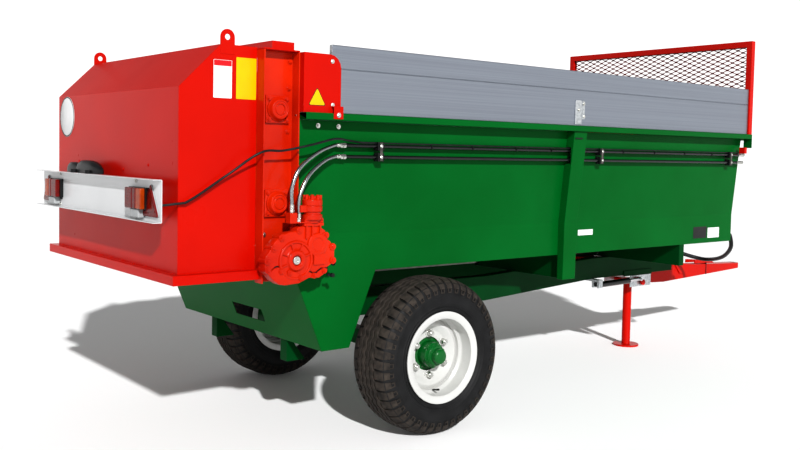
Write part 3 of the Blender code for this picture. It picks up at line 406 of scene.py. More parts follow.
def shifted(tree, geometry, way):
    return result(tree, "GeometryNodeTransform", {"Geometry": geometry, "Translation": way})


def endTree(tree, geometry, given):
    coloured = result(tree, "GeometryNodeSetMaterial", {"Geometry": geometry, "Material": given["Finish"]})
    addNode(tree, "NodeGroupOutput", {0: coloured})
    return tree


def repeatTree():
    tree, given = startTree(
        "repeated piece", {"Count": "Int", "Step": "Vector", "Turn": "Vector", "Centre": "Vector"},
    )
    index = result(tree, "GeometryNodeInputIndex")
    step, turn = (
        result(tree, "ShaderNodeVectorMath", {0: given[word], 3: index}, operation="SCALE")
        for word in ("Step", "Turn")
    )
    points = result(tree, "GeometryNodePoints", {"Count": given["Count"], "Position": step})
    copies = copiesAt(tree, points, given["Geometry"], turn)
    welded = result(tree, "GeometryNodeMergeByDistance", {"Distance": 0.00004, "Geometry": copies})
    return endTree(tree, shifted(tree, welded, given["Centre"]), given)


def boltTree():  # a hexagon head over a washer, with a shank that goes into the sheet
    sizes = ("Head radius", "Head height", "Washer radius")
    tree, given = startTree("bolts at points", {word: "Float" for word in sizes})
    radius, height, washer = (given[word] for word in sizes)
    drum = "GeometryNodeMeshCylinder"
    head = result(tree, drum, {"Vertices": 6, "Radius": radius, "Depth": height})
    lift = result(tree, "ShaderNodeCombineXYZ", {"Z": maths(tree, "MULTIPLY", height, 0.5)})
    flat = result(tree, drum, {"Vertices": 20, "Depth": 0.004, "Radius": washer})
    thin, long = maths(tree, "MULTIPLY", radius, 0.55), maths(tree, "MULTIPLY", height, 2.7)
    shank = result(tree, drum, {"Vertices": 12, "Radius": thin, "Depth": long})
    joined = addNode(tree, "GeometryNodeJoinGeometry")
    for source in (shank, flat, shifted(tree, head, lift)):
        tree.links.new(source, joined.inputs[0])
    facing = addNode(tree, "GeometryNodeInputNamedAttribute", {"Name": "facing"}, data_type="FLOAT_VECTOR")
    way = {"Vector": facing.outputs["Attribute"]}
    turn = result(tree, "FunctionNodeAlignRotationToVector", way, axis="Z")
    return endTree(tree, copiesAt(tree, given["Geometry"], joined.outputs[0], turn), given)


repeater, bolter = repeatTree(), boltTree()


def applied(name, source, tree, inputs, body="frame", stands=()):  # keeps a plain mesh
    modifier = source.modifiers.new(tree.name, "NODES")
    modifier.node_group = tree
    for item in tree.interface.items_tree:
        if item.in_out == "INPUT" and item.name in inputs:
            modifier[item.identifier] = inputs[item.name]
    graph = bpy.context.evaluated_depsgraph_get()
    mesh = bpy.data.meshes.new_from_object(source.evaluated_get(graph))
    mesh.name = name
    bpy.data.objects.remove(source)
    if "facing" in mesh.attributes:
        mesh.attributes.remove(mesh.attributes["facing"])
    smoothed(mesh)
    return dress(linked(name, mesh), body, stands)


def repeated(name, shape, count, word, body="frame", step=(0, 0, 0), turn=(0, 0, 0), centre=(0, 0, 0)):
    inputs = {"Count": count, "Step": step, "Turn": turn, "Centre": at(*centre), "Finish": finish[word]}
    return applied(name, objectFrom(name, shape), repeater, inputs, body)


# each place with its way out
def boltsOn(name, places, word="zincPlate", head=0.0105, height=0.008, washer=0.014):
    mesh = bpy.data.meshes.new(name)
    mesh.from_pydata([at(*place) for place, _ in places], [], [])
    facing = mesh.attributes.new("facing", "FLOAT_VECTOR", "POINT")
    facing.data.foreach_set("vector", [c for _, way in places for c in way])
    inputs = {"Head radius": head, "Head height": height, "Washer radius": washer, "Finish": finish[word]}
    return applied(name, linked(name, mesh), bolter, inputs)


# studio: a pale floor, a hazy low sun from behind the right rear corner and near-white surroundings
studio = {
    "floor": "#FAFAFA", "horizon": 1.0, "zenith": 0.22, "sun": 4.2, "sunAngle": 1.6,
    "sunWay": (0.34, 0.80, -0.50),
}


def makeStudio():
    world = bpy.data.worlds.new("studio")
    world.use_nodes = True
    tree = world.node_tree
    way = addNode(tree, "ShaderNodeTexCoord")
    height = addNode(tree, "ShaderNodeSeparateXYZ", {"Vector": way.outputs["Generated"]})
    values = {"From Min": 0.2, "From Max": 0.36, "To Min": studio["horizon"], "To Max": studio["zenith"]}
    values["Value"] = height.outputs["Z"]
    fade = addNode(tree, "ShaderNodeMapRange", values, interpolation_type="SMOOTHSTEP")
    tree.links.new(fade.outputs["Result"], tree.nodes["Background"].inputs["Strength"])
    tree.nodes["Background"].inputs["Color"].default_value = (1.0, 1.0, 1.0, 1.0)
    scene.world = world
    sun = linked("sun", bpy.data.lights.new("sun", "SUN"))
    sun.data.energy = studio["sun"]
    sun.data.angle = math.radians(studio["sunAngle"])
    sun.rotation_euler = Vector(studio["sunWay"]).to_track_quat("-Z", "Y").to_euler()
    mesh = bpy.data.meshes.new("studioFloor")
    reach = 60.0
    mesh.from_pydata(
        [(-reach, -reach, 0), (reach, -reach, 0), (reach, reach, 0), (-reach, reach, 0)], [], [(0, 1, 2, 3)],
    )
    floor = linked("studioFloor", mesh)
    paper = bpy.data.materials.new("studioFloor")
    paper.use_nodes = True
    shader = paper.node_tree.nodes["Principled BSDF"]
    shader.inputs["Base Color"].default_value = linear(studio["floor"])
    shader.inputs["Roughness"].default_value = 0.8
    mesh.materials.append(paper)
    scene.view_settings.view_transform = "Standard"
    scene.view_settings.look = "Medium High Contrast"


makeStudio()
print("studio made")


# hoses: routes run fitting to fitting
def smoothPoints(route, spacing):
    stops = [Vector(point) for point in route]
    points = [stops[0]]
    for a, b, c, d in zip(stops, stops[1:], stops[2:], stops[3:]):
        steps = max(2, round((c - b).length / spacing))
        for step in range(steps):
            t = step / steps
            bend = (2 * a - 5 * b + 4 * c - d) * t**2 + (3 * b - a - 3 * c + d) * t**3
            points.append(0.5 * (2 * b + (c - a) * t + bend))
    return [*points, stops[-2], stops[-1]]


hoses = {
    "motor_hose_1": {
        "radius": 0.009,
        "word": "braidedSleeve",
        "stiffness": "stiff",
        "farEnd": "fitting",
        "route": [
            (0.7597, -0.742, 1.3854), (0.72, -0.742, 1.3854), (0.607, -0.775, 1.3514), (0.507, -0.79, 1.2854),
            (0.467, -0.7925, 1.2054), (0.467, -0.7925, 1.1323), (0.467, -0.7925, 1.0973),
        ],
    },
    "motor_hose_2": {
        "radius": 0.009,
        "word": "braidedSleeve",
        "stiffness": "stiff",
        "farEnd": "fitting",
        "route": [
            (0.7597, -0.742, 1.3355), (0.725, -0.742, 1.3355), (0.648, -0.765, 1.3155),
            (0.558, -0.785, 1.2555),
            (0.507, -0.7925, 1.1705), (0.503, -0.7925, 1.0923), (0.503, -0.7925, 1.0573),
        ],
    },
    "front_hoses": {
        "radius": 0.014,
        "word": "hoseRubber",
        "stiffness": "medium",
        "farEnd": "object",
        "route": [
            (4.0303, -0.655, 0.842), (4.06, -0.655, 0.842), (4.12, -0.63, 0.752), (4.23, -0.5, 0.667),
            (4.35, -0.3, 0.622), (4.3, -0.18, 0.642), (4.2, -0.06, 0.687),
        ],
    },
    "lamp_cable": {
        "radius": 0.005,
        "word": "hoseRubber",
        "stiffness": "limp",
        "farEnd": "object",
        "route": [
            (-0.068, -0.69, 1.132), (0.02, -0.71, 1.142), (0.2, -0.72, 1.2524), (0.33, -0.765, 1.3474),
            (0.44, -0.765, 1.3574), (0.56, -0.79, 1.3834), (0.7, -0.77, 1.4124), (0.79, -0.742, 1.4074),
            (0.87, -0.742, 1.3995), (0.9467, -0.742, 1.3995),
        ],
    },
}


def makeFerrules(name, points, recipe):  # a ribbed crimp and a hexagon nut at both ends
    shape = bmesh.new()
    radius = recipe["radius"]
    for end, inner in ((points[0], points[1]), (points[-1], points[-2])):
        way = (inner - end).normalized()
        addRod(shape, end + way * 0.0005, end + way * 0.012, radius * 1.32, 6)
        addRod(shape, end + way * 0.012, end + way * 0.034, radius * 1.16, 24)
        for step in range(3):
            middle = end + way * (0.017 + 0.006 * step)
            addRod(shape, middle - way * 0.0012, middle + way * 0.0012, radius * 1.25, 24)
    return (makePiece(f"{name}_ferrules", shape, "zincPlate", bevel=0.0005),)


def makeHose(name, recipe):
    points = smoothPoints(recipe["route"], 0.012)
    curve = bpy.data.curves.new(name, "CURVE")
    curve.dimensions = "3D"
    curve.bevel_depth = recipe["radius"]
    curve.bevel_resolution = 5
    curve.use_fill_caps = True
    spline = curve.splines.new("POLY")
    spline.points.add(len(points) - 1)
    for knot, point in zip(spline.points, points):
        knot.co = (*at(*point), 1.0)
    spline.use_smooth = True
    curve.materials.append(finish[recipe["word"]])
    piece = dress(linked(f"{name}_run", curve), "frame", [name])
    extras = makeFerrules(name, points, recipe) if recipe["farEnd"] == "fitting" else ()


for name, recipe in hoses.items():
    makeHose(name, recipe)
print("hoses made")


# body, hood and chassis: the solids' own shapes with rounded edges
def pair(*stems):  # the right and left node of each stem
    return [f"{stem}_{word}" for stem in stems for word, _ in sides]


sheets = (  # finish, slot, edge radius, nodes
    ("redEnamel", "red_paint", 0.002, ["hood_shell", *pair("hood_side"), "hood_lip"]),
    ("castingRed", "red_paint", 0.002, pair("beater_column")),
    ("redEnamel", "red_paint", 0.0015, ["top_beam", *pair("side_cheek")]),
    ("redEnamel", "red_paint", 0.003, ["grille_frame", "chain_guard", "drawbar", "rear_angle_gearbox"]),
    ("greenEnamel", "green_paint", 0.0012, pair("side_panel")),
    ("greenEnamel", "green_paint", 0.0015, ["front_wall", "floor", "rear_cross_plate", *pair("mid_post")]),
    ("greenEnamel", "green_paint", 0.003, pair("top_rail")),
    # chassis, axle and cross members in the darker green that paints the underbody's shade
    ("frameGreenPaintedShade", "green_paint", 0.003, [*pair("chassis_rail"), "axle_beam"]),
    ("frameGreenPaintedShade", "green_paint", 0.003, [f"cross_member_{word}" for word in ("rear", "mid", "front")]),
    ("bareSteel", "steel", 0.001, ["conveyor_drive_shaft", "conveyor_idler_shaft", "driveline"]),
)
for word, slotName, edge, nodes in sheets:
    softened(nodes, word, edge)
for word in ("upper", "lower"):
    softened([f"beater_{word}"], "castingRed", 0.0015, f"{word}_beater")
print("sheets softened")

boards = {
    "rear": 0.679, "front": 4.036, "outer": 0.769, "thick": 0.025, "low": 1.5233, "high": 1.821,
    "seam": 1.719,
}


def makeBoards():  # hollow planks pressed together, with the open ends' webs showing
    size = boards
    for word, side in sides:
        shape = bmesh.new()
        inner, groove = size["outer"] - size["thick"], 0.0016
        for low, high in ((size["low"], size["seam"] - 0.0012), (size["seam"] + 0.0012, size["high"])):
            outline = [
                (inner, low), (size["outer"] - groove, low), (size["outer"], low + 0.0022),
                (size["outer"], high - 0.0022), (size["outer"] - groove, high), (inner, high),
            ]
            addPrism(
                shape, [(side * y, z) for y, z in outline], 0, size["rear"] + 0.001, size["front"] - 0.001,
            )
        middle = (inner + 0.004, size["outer"] - 0.004)
        sideBox(
            shape, side, (size["rear"] + 0.002, middle[0], size["seam"] - 0.003),
            (size["front"] - 0.002, middle[1], size["seam"] + 0.003),
        )
        makePiece(
            f"boardPlanks_{word}", shape, "millAluminium", "frame", [f"side_board_{word}"],
            0.0008,
        )
        ends = bmesh.new()
        for x in (size["rear"], size["front"] - 0.0012):
            sideBox(
                ends, side, (x, inner + 0.002, size["low"] + 0.002),
                (x + 0.0012, size["outer"] - 0.002, size["high"] - 0.002),
            )
        makePiece(f"boardEndCaps_{word}", ends, "galvanised")
        grip = bmesh.new()
        plate = [
            (2.289, 1.531), (2.342, 1.531), (2.342, 1.655), (2.334, 1.663), (2.297, 1.663), (2.289, 1.655),
        ]
        addPrism(grip, plate, 1, side * 0.7693, side * 0.7733)
        sideBox(grip, side, (2.346, 0.7693, 1.56), (2.368, 0.7723, 1.66))
        makePiece(f"boardBracket_{word}", grip, "galvanised", bevel=0.001)
        places = [
            ((x, side * 0.7733, z), (0, side, 0)) for x, z in ((2.357, 1.644), (2.36, 1.575), (2.315, 1.61))
        ]
        boltsOn(f"boardBolts_{word}", places, head=0.0065, height=0.004, washer=0.009)


def expandedTree():  # flattened expanded metal, one diamond to a place
    kinds = {"Columns": "Int", "Rows": "Int", "Pitch along": "Float", "Pitch up": "Float", "Centre": "Vector"}
    tree, given = startTree("expanded mesh", kinds)
    index = result(tree, "GeometryNodeInputIndex")
    count = maths(tree, "MULTIPLY", given["Columns"], given["Rows"])
    row = maths(tree, "FLOOR", maths(tree, "DIVIDE", index, given["Columns"]))
    y = maths(tree, "MULTIPLY", maths(tree, "MODULO", index, given["Columns"]), given["Pitch along"])
    z = maths(tree, "MULTIPLY", row, given["Pitch up"])
    place = result(tree, "ShaderNodeCombineXYZ", {"Y": y, "Z": z})
    points = result(tree, "GeometryNodePoints", {"Count": count, "Position": place})
    copies = copiesAt(tree, points, given["Geometry"])
    return endTree(tree, shifted(tree, copies, given["Centre"]), given)


grille = {"x": 4.0565, "half": 0.739, "low": 1.5636, "high": 2.1, "columns": 20, "rows": 17, "strand": 0.0038}


def makeGrille():
    size = grille
    wide = 2 * size["half"] / size["columns"]
    tall = (size["high"] - size["low"]) / size["rows"]
    shape = bmesh.new()
    thick = 0.0016
    for turn in (0, 1):  # one diamond: four strands from knot to knot
        for way in (-1, 1):
            outline = []
            start, end = (way * wide / 2, 0.0), (0.0, (1 if turn else -1) * tall / 2)
            along = Vector((end[0] - start[0], end[1] - start[1])).normalized()
            across = Vector((-along.y, along.x))
            for share, grow in ((-0.04, 1.0), (0.12, 1.9), (0.3, 1.0), (0.7, 1.0), (0.88, 1.9), (1.04, 1.0)):
                middle = Vector(start).lerp(Vector(end), share)
                outline.append((middle, across * size["strand"] * grow / 2 * 1.25))
            ring = [middle + half for middle, half in outline] + [
                middle - half for middle, half in reversed(outline)
            ]
            addPrism(shape, [(p.x, p.y) for p in ring], 0, -thick, thick)
    inputs = {
        "Columns": size["columns"],
        "Rows": size["rows"],
        "Pitch along": wide,
        "Pitch up": tall,
        "Centre": at(size["x"], -size["half"] + wide / 2, size["low"] + tall / 2),
        # the strands' darker red is painted shade of the backlit mesh
        "Finish": finish["meshRedPaintedShade"],
    }
    source = objectFrom("mesh cell", shape)
    applied("grilleMesh", source, expandedTree(), inputs, "frame", ["grille_mesh"])
    edge = bmesh.new()
    x = size["x"]
    for y in (-size["half"], size["half"] - 0.003):
        addBox(edge, (x - 0.0019, y, size["low"]), (x + 0.0019, y + 0.003, size["high"]))
    for z in (size["low"], size["high"] - 0.003):
        addBox(edge, (x - 0.0019, -size["half"], z), (x + 0.0019, size["half"], z + 0.003))
    # the mesh edge in the same darker red, painted shade of the backlit mesh
    makePiece("grilleMeshEdge", edge, "meshRedPaintedShade")


makeBoards()
makeGrille()
print("boards and grille made")


# floor conveyor: link chain and slats over the two shafts
conveyor = {
    "rear": 0.507,
    "front": 3.93,
    "height": 0.892,
    "radius": 0.05,
    "chainHalf": 0.5,
    "chainWide": 0.024,
    "pitch": 0.06,
    "slats": 14,
    "slatHalf": 0.62,
}


def onLoop(along):  # a point of the chain's loop, from its rear top: x and z
    size = conveyor
    span, arc = size["front"] - size["rear"], math.pi * size["radius"]
    half, rest = divmod(along % (2 * (span + arc)), span + arc)
    way = -1 if half else 1
    start, end = (size["front"], size["rear"]) if half else (size["rear"], size["front"])
    if rest < span:
        return start + way * rest, size["height"] + way * size["radius"]
    angle = way * math.pi / 2 - (rest - span) / size["radius"]
    return end + size["radius"] * math.cos(angle), size["height"] + size["radius"] * math.sin(angle)


def makeConveyor():
    size = conveyor
    span = size["front"] - size["rear"]
    loop = 2 * (span + math.pi * size["radius"])
    links = 2 * round(loop / size["pitch"] / 2)
    pitch = loop / links
    out = size["chainWide"] / 2 - 0.003
    shape = bmesh.new()
    for _, side in sides:
        for i in range(links):
            places = (onLoop(pitch * i), onLoop(pitch * (i + 1)))
            start, end = (Vector((x, side * size["chainHalf"], z)) for x, z in places)
            stretch = (end - start) * 0.06
            offset = 0.0 if i % 2 else 0.0032
            for way in (-1, 1):
                shift = Vector((0, way * (out - offset), 0))
                addRod(shape, start - stretch + shift, end + stretch + shift, 0.0028, 5)
            addRod(shape, start - Vector((0, out, 0)), start + Vector((0, out, 0)), 0.0045, 6)
    makePiece("conveyorChains", shape, "bareSteel", "frame", ["floor_conveyor"])
    slat = bmesh.new()  # an upright web and two lips
    half, wide, tall = size["slatHalf"], 0.02, 0.015
    outline = [
        (-wide, 0), (wide, 0), (wide, tall), (wide - 0.004, tall), (wide - 0.004, 0.004),
        (0.004 - wide, 0.004), (0.004 - wide, tall), (-wide, tall),
    ]
    addPrism(slat, outline, 1, -half, half)
    step = span / size["slats"]
    first = size["rear"] + step / 2
    for name, z, turn in (("upperSlats", 0.946, 0), ("lowerSlats", 0.838, math.pi)):
        copy = slat.copy()
        if turn:
            copy.transform(Matrix.Rotation(turn, 4, "X"))
        repeated(name, copy, size["slats"], "bareSteel", step=(step, 0, 0), centre=(first, 0, z))
    slat.free()


makeConveyor()
print("conveyor made")


# wheels: implement tyre with four zigzag ribs and shoulder lugs, stepped white rim, green hub
wheel = {
    "x": 1.31,
    "y": 0.71,
    "z": 0.38,
    "pitches": 46,
    "crown": 0.38,
    "groove": 0.012,
    "ribs": ((-0.0455, 0.0215), (-0.0152, 0.0205), (0.0152, 0.0205), (0.0455, 0.0215)),
    "sway": 0.006,
    "side": 0.132,
    "rimRadius": 0.2235,
    "rimHalf": 0.125,
    "studs": 6,
    "studCircle": 0.1025,
}


def carcass(size):  # cross-section of the casing below the ribs, from bead to bead
    crown, side = size["crown"], size["side"]
    bead, toe = size["rimRadius"] - 0.0285, size["rimHalf"] - 0.0113
    floor = crown - size["groove"]
    outer = [
        (toe - 0.004, bead), (toe, bead + 0.004), (toe, size["rimRadius"] + 0.002), (side - 0.008, 0.2405),
        (side - 0.005, 0.2445), (side - 0.0075, 0.247), (side - 0.003, 0.258), (side - 0.0015, 0.2605),
        (side - 0.003, 0.263), (side - 0.0005, 0.28), (side - 0.0005, 0.30), (side, 0.3015),
        (side - 0.0015, 0.304), (side - 0.004, 0.325), (side - 0.0105, 0.344), (side - 0.019, 0.3595),
        (side - 0.031, floor - 0.004), (side - 0.05, floor), (0.034, floor),
    ]
    middle = (size["rimRadius"] + crown) / 2
    inner = [
        (0.0, crown - 0.026), (side - 0.05, crown - 0.032), (side - 0.026, middle), (toe - 0.02, bead + 0.03),
    ]
    inner.append((toe - 0.02, bead))
    right = [*outer, (0.0, floor + 0.0006)]
    left = [(-along, radius) for along, radius in reversed(outer)]
    back = [(-along, radius) for along, radius in reversed(inner)] + inner[1:]
    return right + left + back


def onTyre(angle, along, radius):
    return (radius * math.cos(angle), along, radius * math.sin(angle))


def addRib(shape, path, width, low, high):  # path of (angle, along), a rib with sloped flanks
    half = width / 2
    outline = [
        (-half - 0.0022, low), (half + 0.0022, low), (half, high - 0.001), (half - 0.001, high),
        (0.001 - half, high), (-half, high - 0.001),
    ]
    addRings(shape, [[onTyre(a, along + off, r) for off, r in outline] for a, along in path], caps=False)


def fourCorners(way, low, high, under, upper):  # angles and (along, radius) of the inner and the outer edge
    inner = [onTyre(angle, way * low[0], low[1]) for angle in under]
    outer = [onTyre(angle, way * high[0], high[1]) for angle in reversed(upper)]
    return inner + outer


def addLug(cell, way, turn, pitch, low):  # a block on the crown's edge that runs down the sidewall in a foot
    crown, edge = wheel["crown"], wheel["side"]
    profile = [
        (0.0635, crown - 0.0022), (0.083, crown - 0.0055), (edge - 0.0335, crown - 0.0105),
        (edge - 0.0185, 0.3585), (edge - 0.0085, 0.3475), (edge - 0.0025, 0.3345),
    ]
    base = [
        (0.061, low - 0.001), (0.083, low - 0.0035), (edge - 0.0375, low - 0.007),
        (edge - 0.0255, 0.3475), (edge - 0.0165, 0.338), (edge - 0.0105, 0.3305),
    ]
    rings = []
    for step, (upper, under) in enumerate(zip(profile, base)):
        start = turn + pitch * 0.12 * step / 5
        end = start + 2 * pitch * (0.385 if step < 4 else 0.33)
        rings.append(fourCorners(way, under, upper, (start - 0.0045, end + 0.0045), (start, end)))
    addRings(cell, rings)


def addPocket(cell, way, start, pitch):  # raised frame round a small square pocket at the foot of each lug
    edge = wheel["side"]
    foot, middle, top = 0.3135, 0.3185, 0.3325
    for first, last, lower, upper in (
        (0.0, 0.5, foot, middle), (0.0, 0.1, middle, top), (0.4, 0.5, middle, top),
    ):
        angles = (start + pitch * first, start + pitch * last)
        rings = []
        for radius in (lower, upper):
            proud = edge - 0.0014 + (top - radius) * 0.06
            rings.append(fourCorners(way, (edge - 0.009, radius), (proud, radius), angles, angles))
        addRings(cell, rings)


def makeTyre(word, side):
    size = wheel
    centre = (size["x"], side * size["y"], size["z"])
    body = f"wheel_{word}"
    shape = bmesh.new()
    addTurned(shape, carcass(size), centre, 1, 96, closed=True)
    makePiece(f"tyreCasing_{word}", shape, "sidewallRubber", body, [f"tyre_{word}"], sharp=50)
    pitch = 2 * math.pi / size["pitches"]
    low = size["crown"] - size["groove"] - 0.0012
    cell = bmesh.new()
    for middle, width in size["ribs"]:
        path = [
            (pitch * step / 4, middle + size["sway"] * swing) for step, swing in enumerate((1, 0, -1, 0, 1))
        ]
        addRib(cell, path, width, low, size["crown"] - 0.0003)
    for way in (-1, 1):
        turn = 0.0 if way > 0 else pitch / 2
        addLug(cell, way, turn, pitch, low)
        addPocket(cell, way, turn + pitch * 0.22, pitch)
    repeated(
        f"tyreTread_{word}", cell, size["pitches"], "treadRubber", body, turn=(0, -pitch, 0), centre=centre,
    )


def makeRim(word, side):
    size = wheel
    x, y, z = size["x"], side * size["y"], size["z"]
    body = f"wheel_{word}"
    edge, lip = size["rimHalf"], size["rimRadius"]
    seat, well = lip - 0.029, lip - 0.0455
    outside = [
        (edge - 0.0005, lip - 0.004), (edge - 0.0015, lip - 0.001), (edge - 0.004, lip),
        (edge - 0.008, lip - 0.0005), (edge - 0.0105, lip - 0.004), (edge - 0.0112, seat + 0.006),
        (edge - 0.0135, seat), (0.062, seat - 0.001), (0.056, seat - 0.004), (0.046, well),
    ]
    inside = [
        (edge - 0.001, lip - 0.008), (edge - 0.004, seat - 0.002), (edge - 0.008, seat - 0.0075),
        (0.058, seat - 0.0075), (0.05, seat - 0.011), (0.041, well - 0.006), (0.03, well - 0.007),
    ]
    disc = [
        (0.014, well - 0.007), (0.0165, well - 0.012), (0.0285, 0.151), (0.029, 0.145), (0.008, 0.124),
        (0.0035, 0.119), (0.001, 0.113), (0.001, 0.083), (0.009, 0.083), (0.0098, 0.112), (0.012, 0.118),
        (0.034, 0.143), (0.0355, 0.149), (0.034, 0.154), (0.025, well - 0.007),
    ]
    profile = outside + [(-a, r) for a, r in reversed(outside)] + [(-a, r) for a, r in inside] + disc
    shape = bmesh.new()
    addTurned(shape, profile + inside[::-1], (x, y, z), 1, 96, outward=side, closed=True)
    makePiece(f"rimDish_{word}", shape, "rimWhite", body, [f"rim_{word}"], 0.0006, 1)
    nuts, seats = bmesh.new(), bmesh.new()
    face = y + side * 0.0098
    for i in range(size["studs"]):
        angle = math.pi / 6 + 2 * math.pi * i / size["studs"]
        across, up = x + size["studCircle"] * math.cos(angle), z + size["studCircle"] * math.sin(angle)
        addPin(seats, across, up, face - side * 0.0005, face + side * 0.004, 0.0215, 24)
        addPin(nuts, across, up, face, face + side * 0.007, 0.019, 20, endRadius=0.0155)
        addPin(nuts, across, up, face + side * 0.005, face + side * 0.026, 0.0158, 6)
        addPin(nuts, across, up, face + side * 0.018, face + side * 0.033, 0.009, 14)
    makePiece(f"wheelNuts_{word}", nuts, "zincPlate", body, bevel=0.0008)
    makePiece(f"nutSeats_{word}", seats, "rimWhite", body, bevel=0.0008)
    valve = bmesh.new()
    for start, end, radius in (
        ((0.05, 0.171), (0.086, 0.163), 0.0042), ((0.08, 0.1645), (0.094, 0.161), 0.0052),
    ):
        stem = [(x, y + side * along, z - down) for along, down in (start, end)]
        addRod(valve, *stem, radius, 12)
    makePiece(f"valve_{word}", valve, "blackPlastic", body)


def makeHub(word, side):
    x, y, z = wheel["x"], side * wheel["y"], wheel["z"]
    body = f"wheel_{word}"
    profile = [
        (0.1095, 0.0), (0.1095, 0.026), (0.107, 0.0315), (0.1035, 0.034), (0.101, 0.0365), (0.0785, 0.0378),
        (0.0772, 0.0465), (0.0735, 0.0485), (0.072, 0.0515), (0.058, 0.0575), (0.0545, 0.0615),
        (0.004, 0.0635),
        (0.0005, 0.068), (-0.0004, 0.0735), (-0.0004, 0.1268), (-0.0158, 0.1268), (-0.0158, 0.0752),
        (-0.0795, 0.0582), (-0.0795, 0.0318), (0.0595, 0.0318), (0.0595, 0.0),
    ]
    shape = bmesh.new()
    addTurned(shape, profile, (x, y, z), 1, 56, outward=side)
    makePiece(f"hubBarrel_{word}", shape, "hubGreen", body, [f"hub_{word}"], 0.0008)
    bolts = bmesh.new()
    for i in range(6):
        angle = math.radians(20) + math.pi * i / 3
        across, up = x + 0.0545 * math.cos(angle), z + 0.0545 * math.sin(angle)
        addPin(bolts, across, up, y + side * 0.056, y + side * 0.0655, 0.0068, 6)
        addPin(bolts, across, up, y + side * 0.054, y + side * 0.0592, 0.0088, 16)
    addPin(bolts, x, z, y + side * 0.107, y + side * 0.1098, 0.011)
    sideBox(bolts, side, (x - 0.004, 0.8145, z - 0.02), (x + 0.004, 0.8199, z + 0.02))
    makePiece(f"hubBolts_{word}", bolts, "hubGreen", body, bevel=0.0006)


for word, side in sides:
    makeTyre(word, side)
    makeRim(word, side)
    makeHub(word, side)
print("wheels made")




# floor gearbox, its motor and the beater bearings on the right column
gearbox = {
    "inner": -0.7475,
    "face": -0.803,
    "outline": [
        (0.545, 1.0515), (0.607, 1.0515), (0.612, 1.03), (0.634, 1.016), (0.636, 0.984), (0.664, 0.966),
        (0.668, 0.948),
        (0.684, 0.938), (0.684, 0.878), (0.664, 0.8665),
    ],
    "joint": [
        (0.647, 0.856), (0.632, 0.8535), (0.617, 0.8555), (0.603, 0.8485), (0.588, 0.8375), (0.572, 0.8375),
        (0.557, 0.846), (0.541, 0.8455), (0.525, 0.834), (0.508, 0.8315), (0.491, 0.8405), (0.476, 0.8535),
        (0.46, 0.857), (0.443, 0.853), (0.428, 0.8555), (0.412, 0.868), (0.395, 0.8775), (0.377, 0.8735),
        (0.36, 0.8605),
    ],
    "back": [
        (0.343, 0.8515), (0.333, 0.862), (0.336, 0.878), (0.334, 0.9), (0.3385, 0.918), (0.352, 0.9335),
        (0.366, 0.955),
        (0.379, 0.975), (0.396, 0.99), (0.42, 1.006), (0.45, 1.0155), (0.48, 1.0185), (0.505, 1.031),
    ],
    "pan": [
        (0.376, 0.8135), (0.402, 0.797), (0.43, 0.792), (0.5, 0.7955), (0.55, 0.816), (0.603, 0.8135),
        (0.64, 0.834),
    ],
    "boss": (0.484, 0.895),
    "ears": [
        (0.414, 0.993), (0.376, 0.951), (0.3465, 0.897), (0.3475, 0.862), (0.672, 0.944), (0.674, 0.884),
        (0.635, 0.995),
        (0.5, 1.022),
    ],
    "jointBolts": [(0.41, 0.8515), (0.452, 0.843), (0.507, 0.8185), (0.575, 0.8245), (0.627, 0.842)],
}


# outline drawn in toward its middle from level to level, for cast edges
def addLayers(shape, outline, levels, slot=0):
    middle = Vector((sum(x for x, _ in outline), sum(z for _, z in outline))) / len(outline)
    rings = []
    for y, inset in levels:
        ring = []
        for x, z in outline:
            way = Vector((x, z)) - middle
            way *= 1 - inset / way.length
            ring.append((middle.x + way.x, y, middle.y + way.y))
        rings.append(ring)
    return addRings(shape, rings, slot)


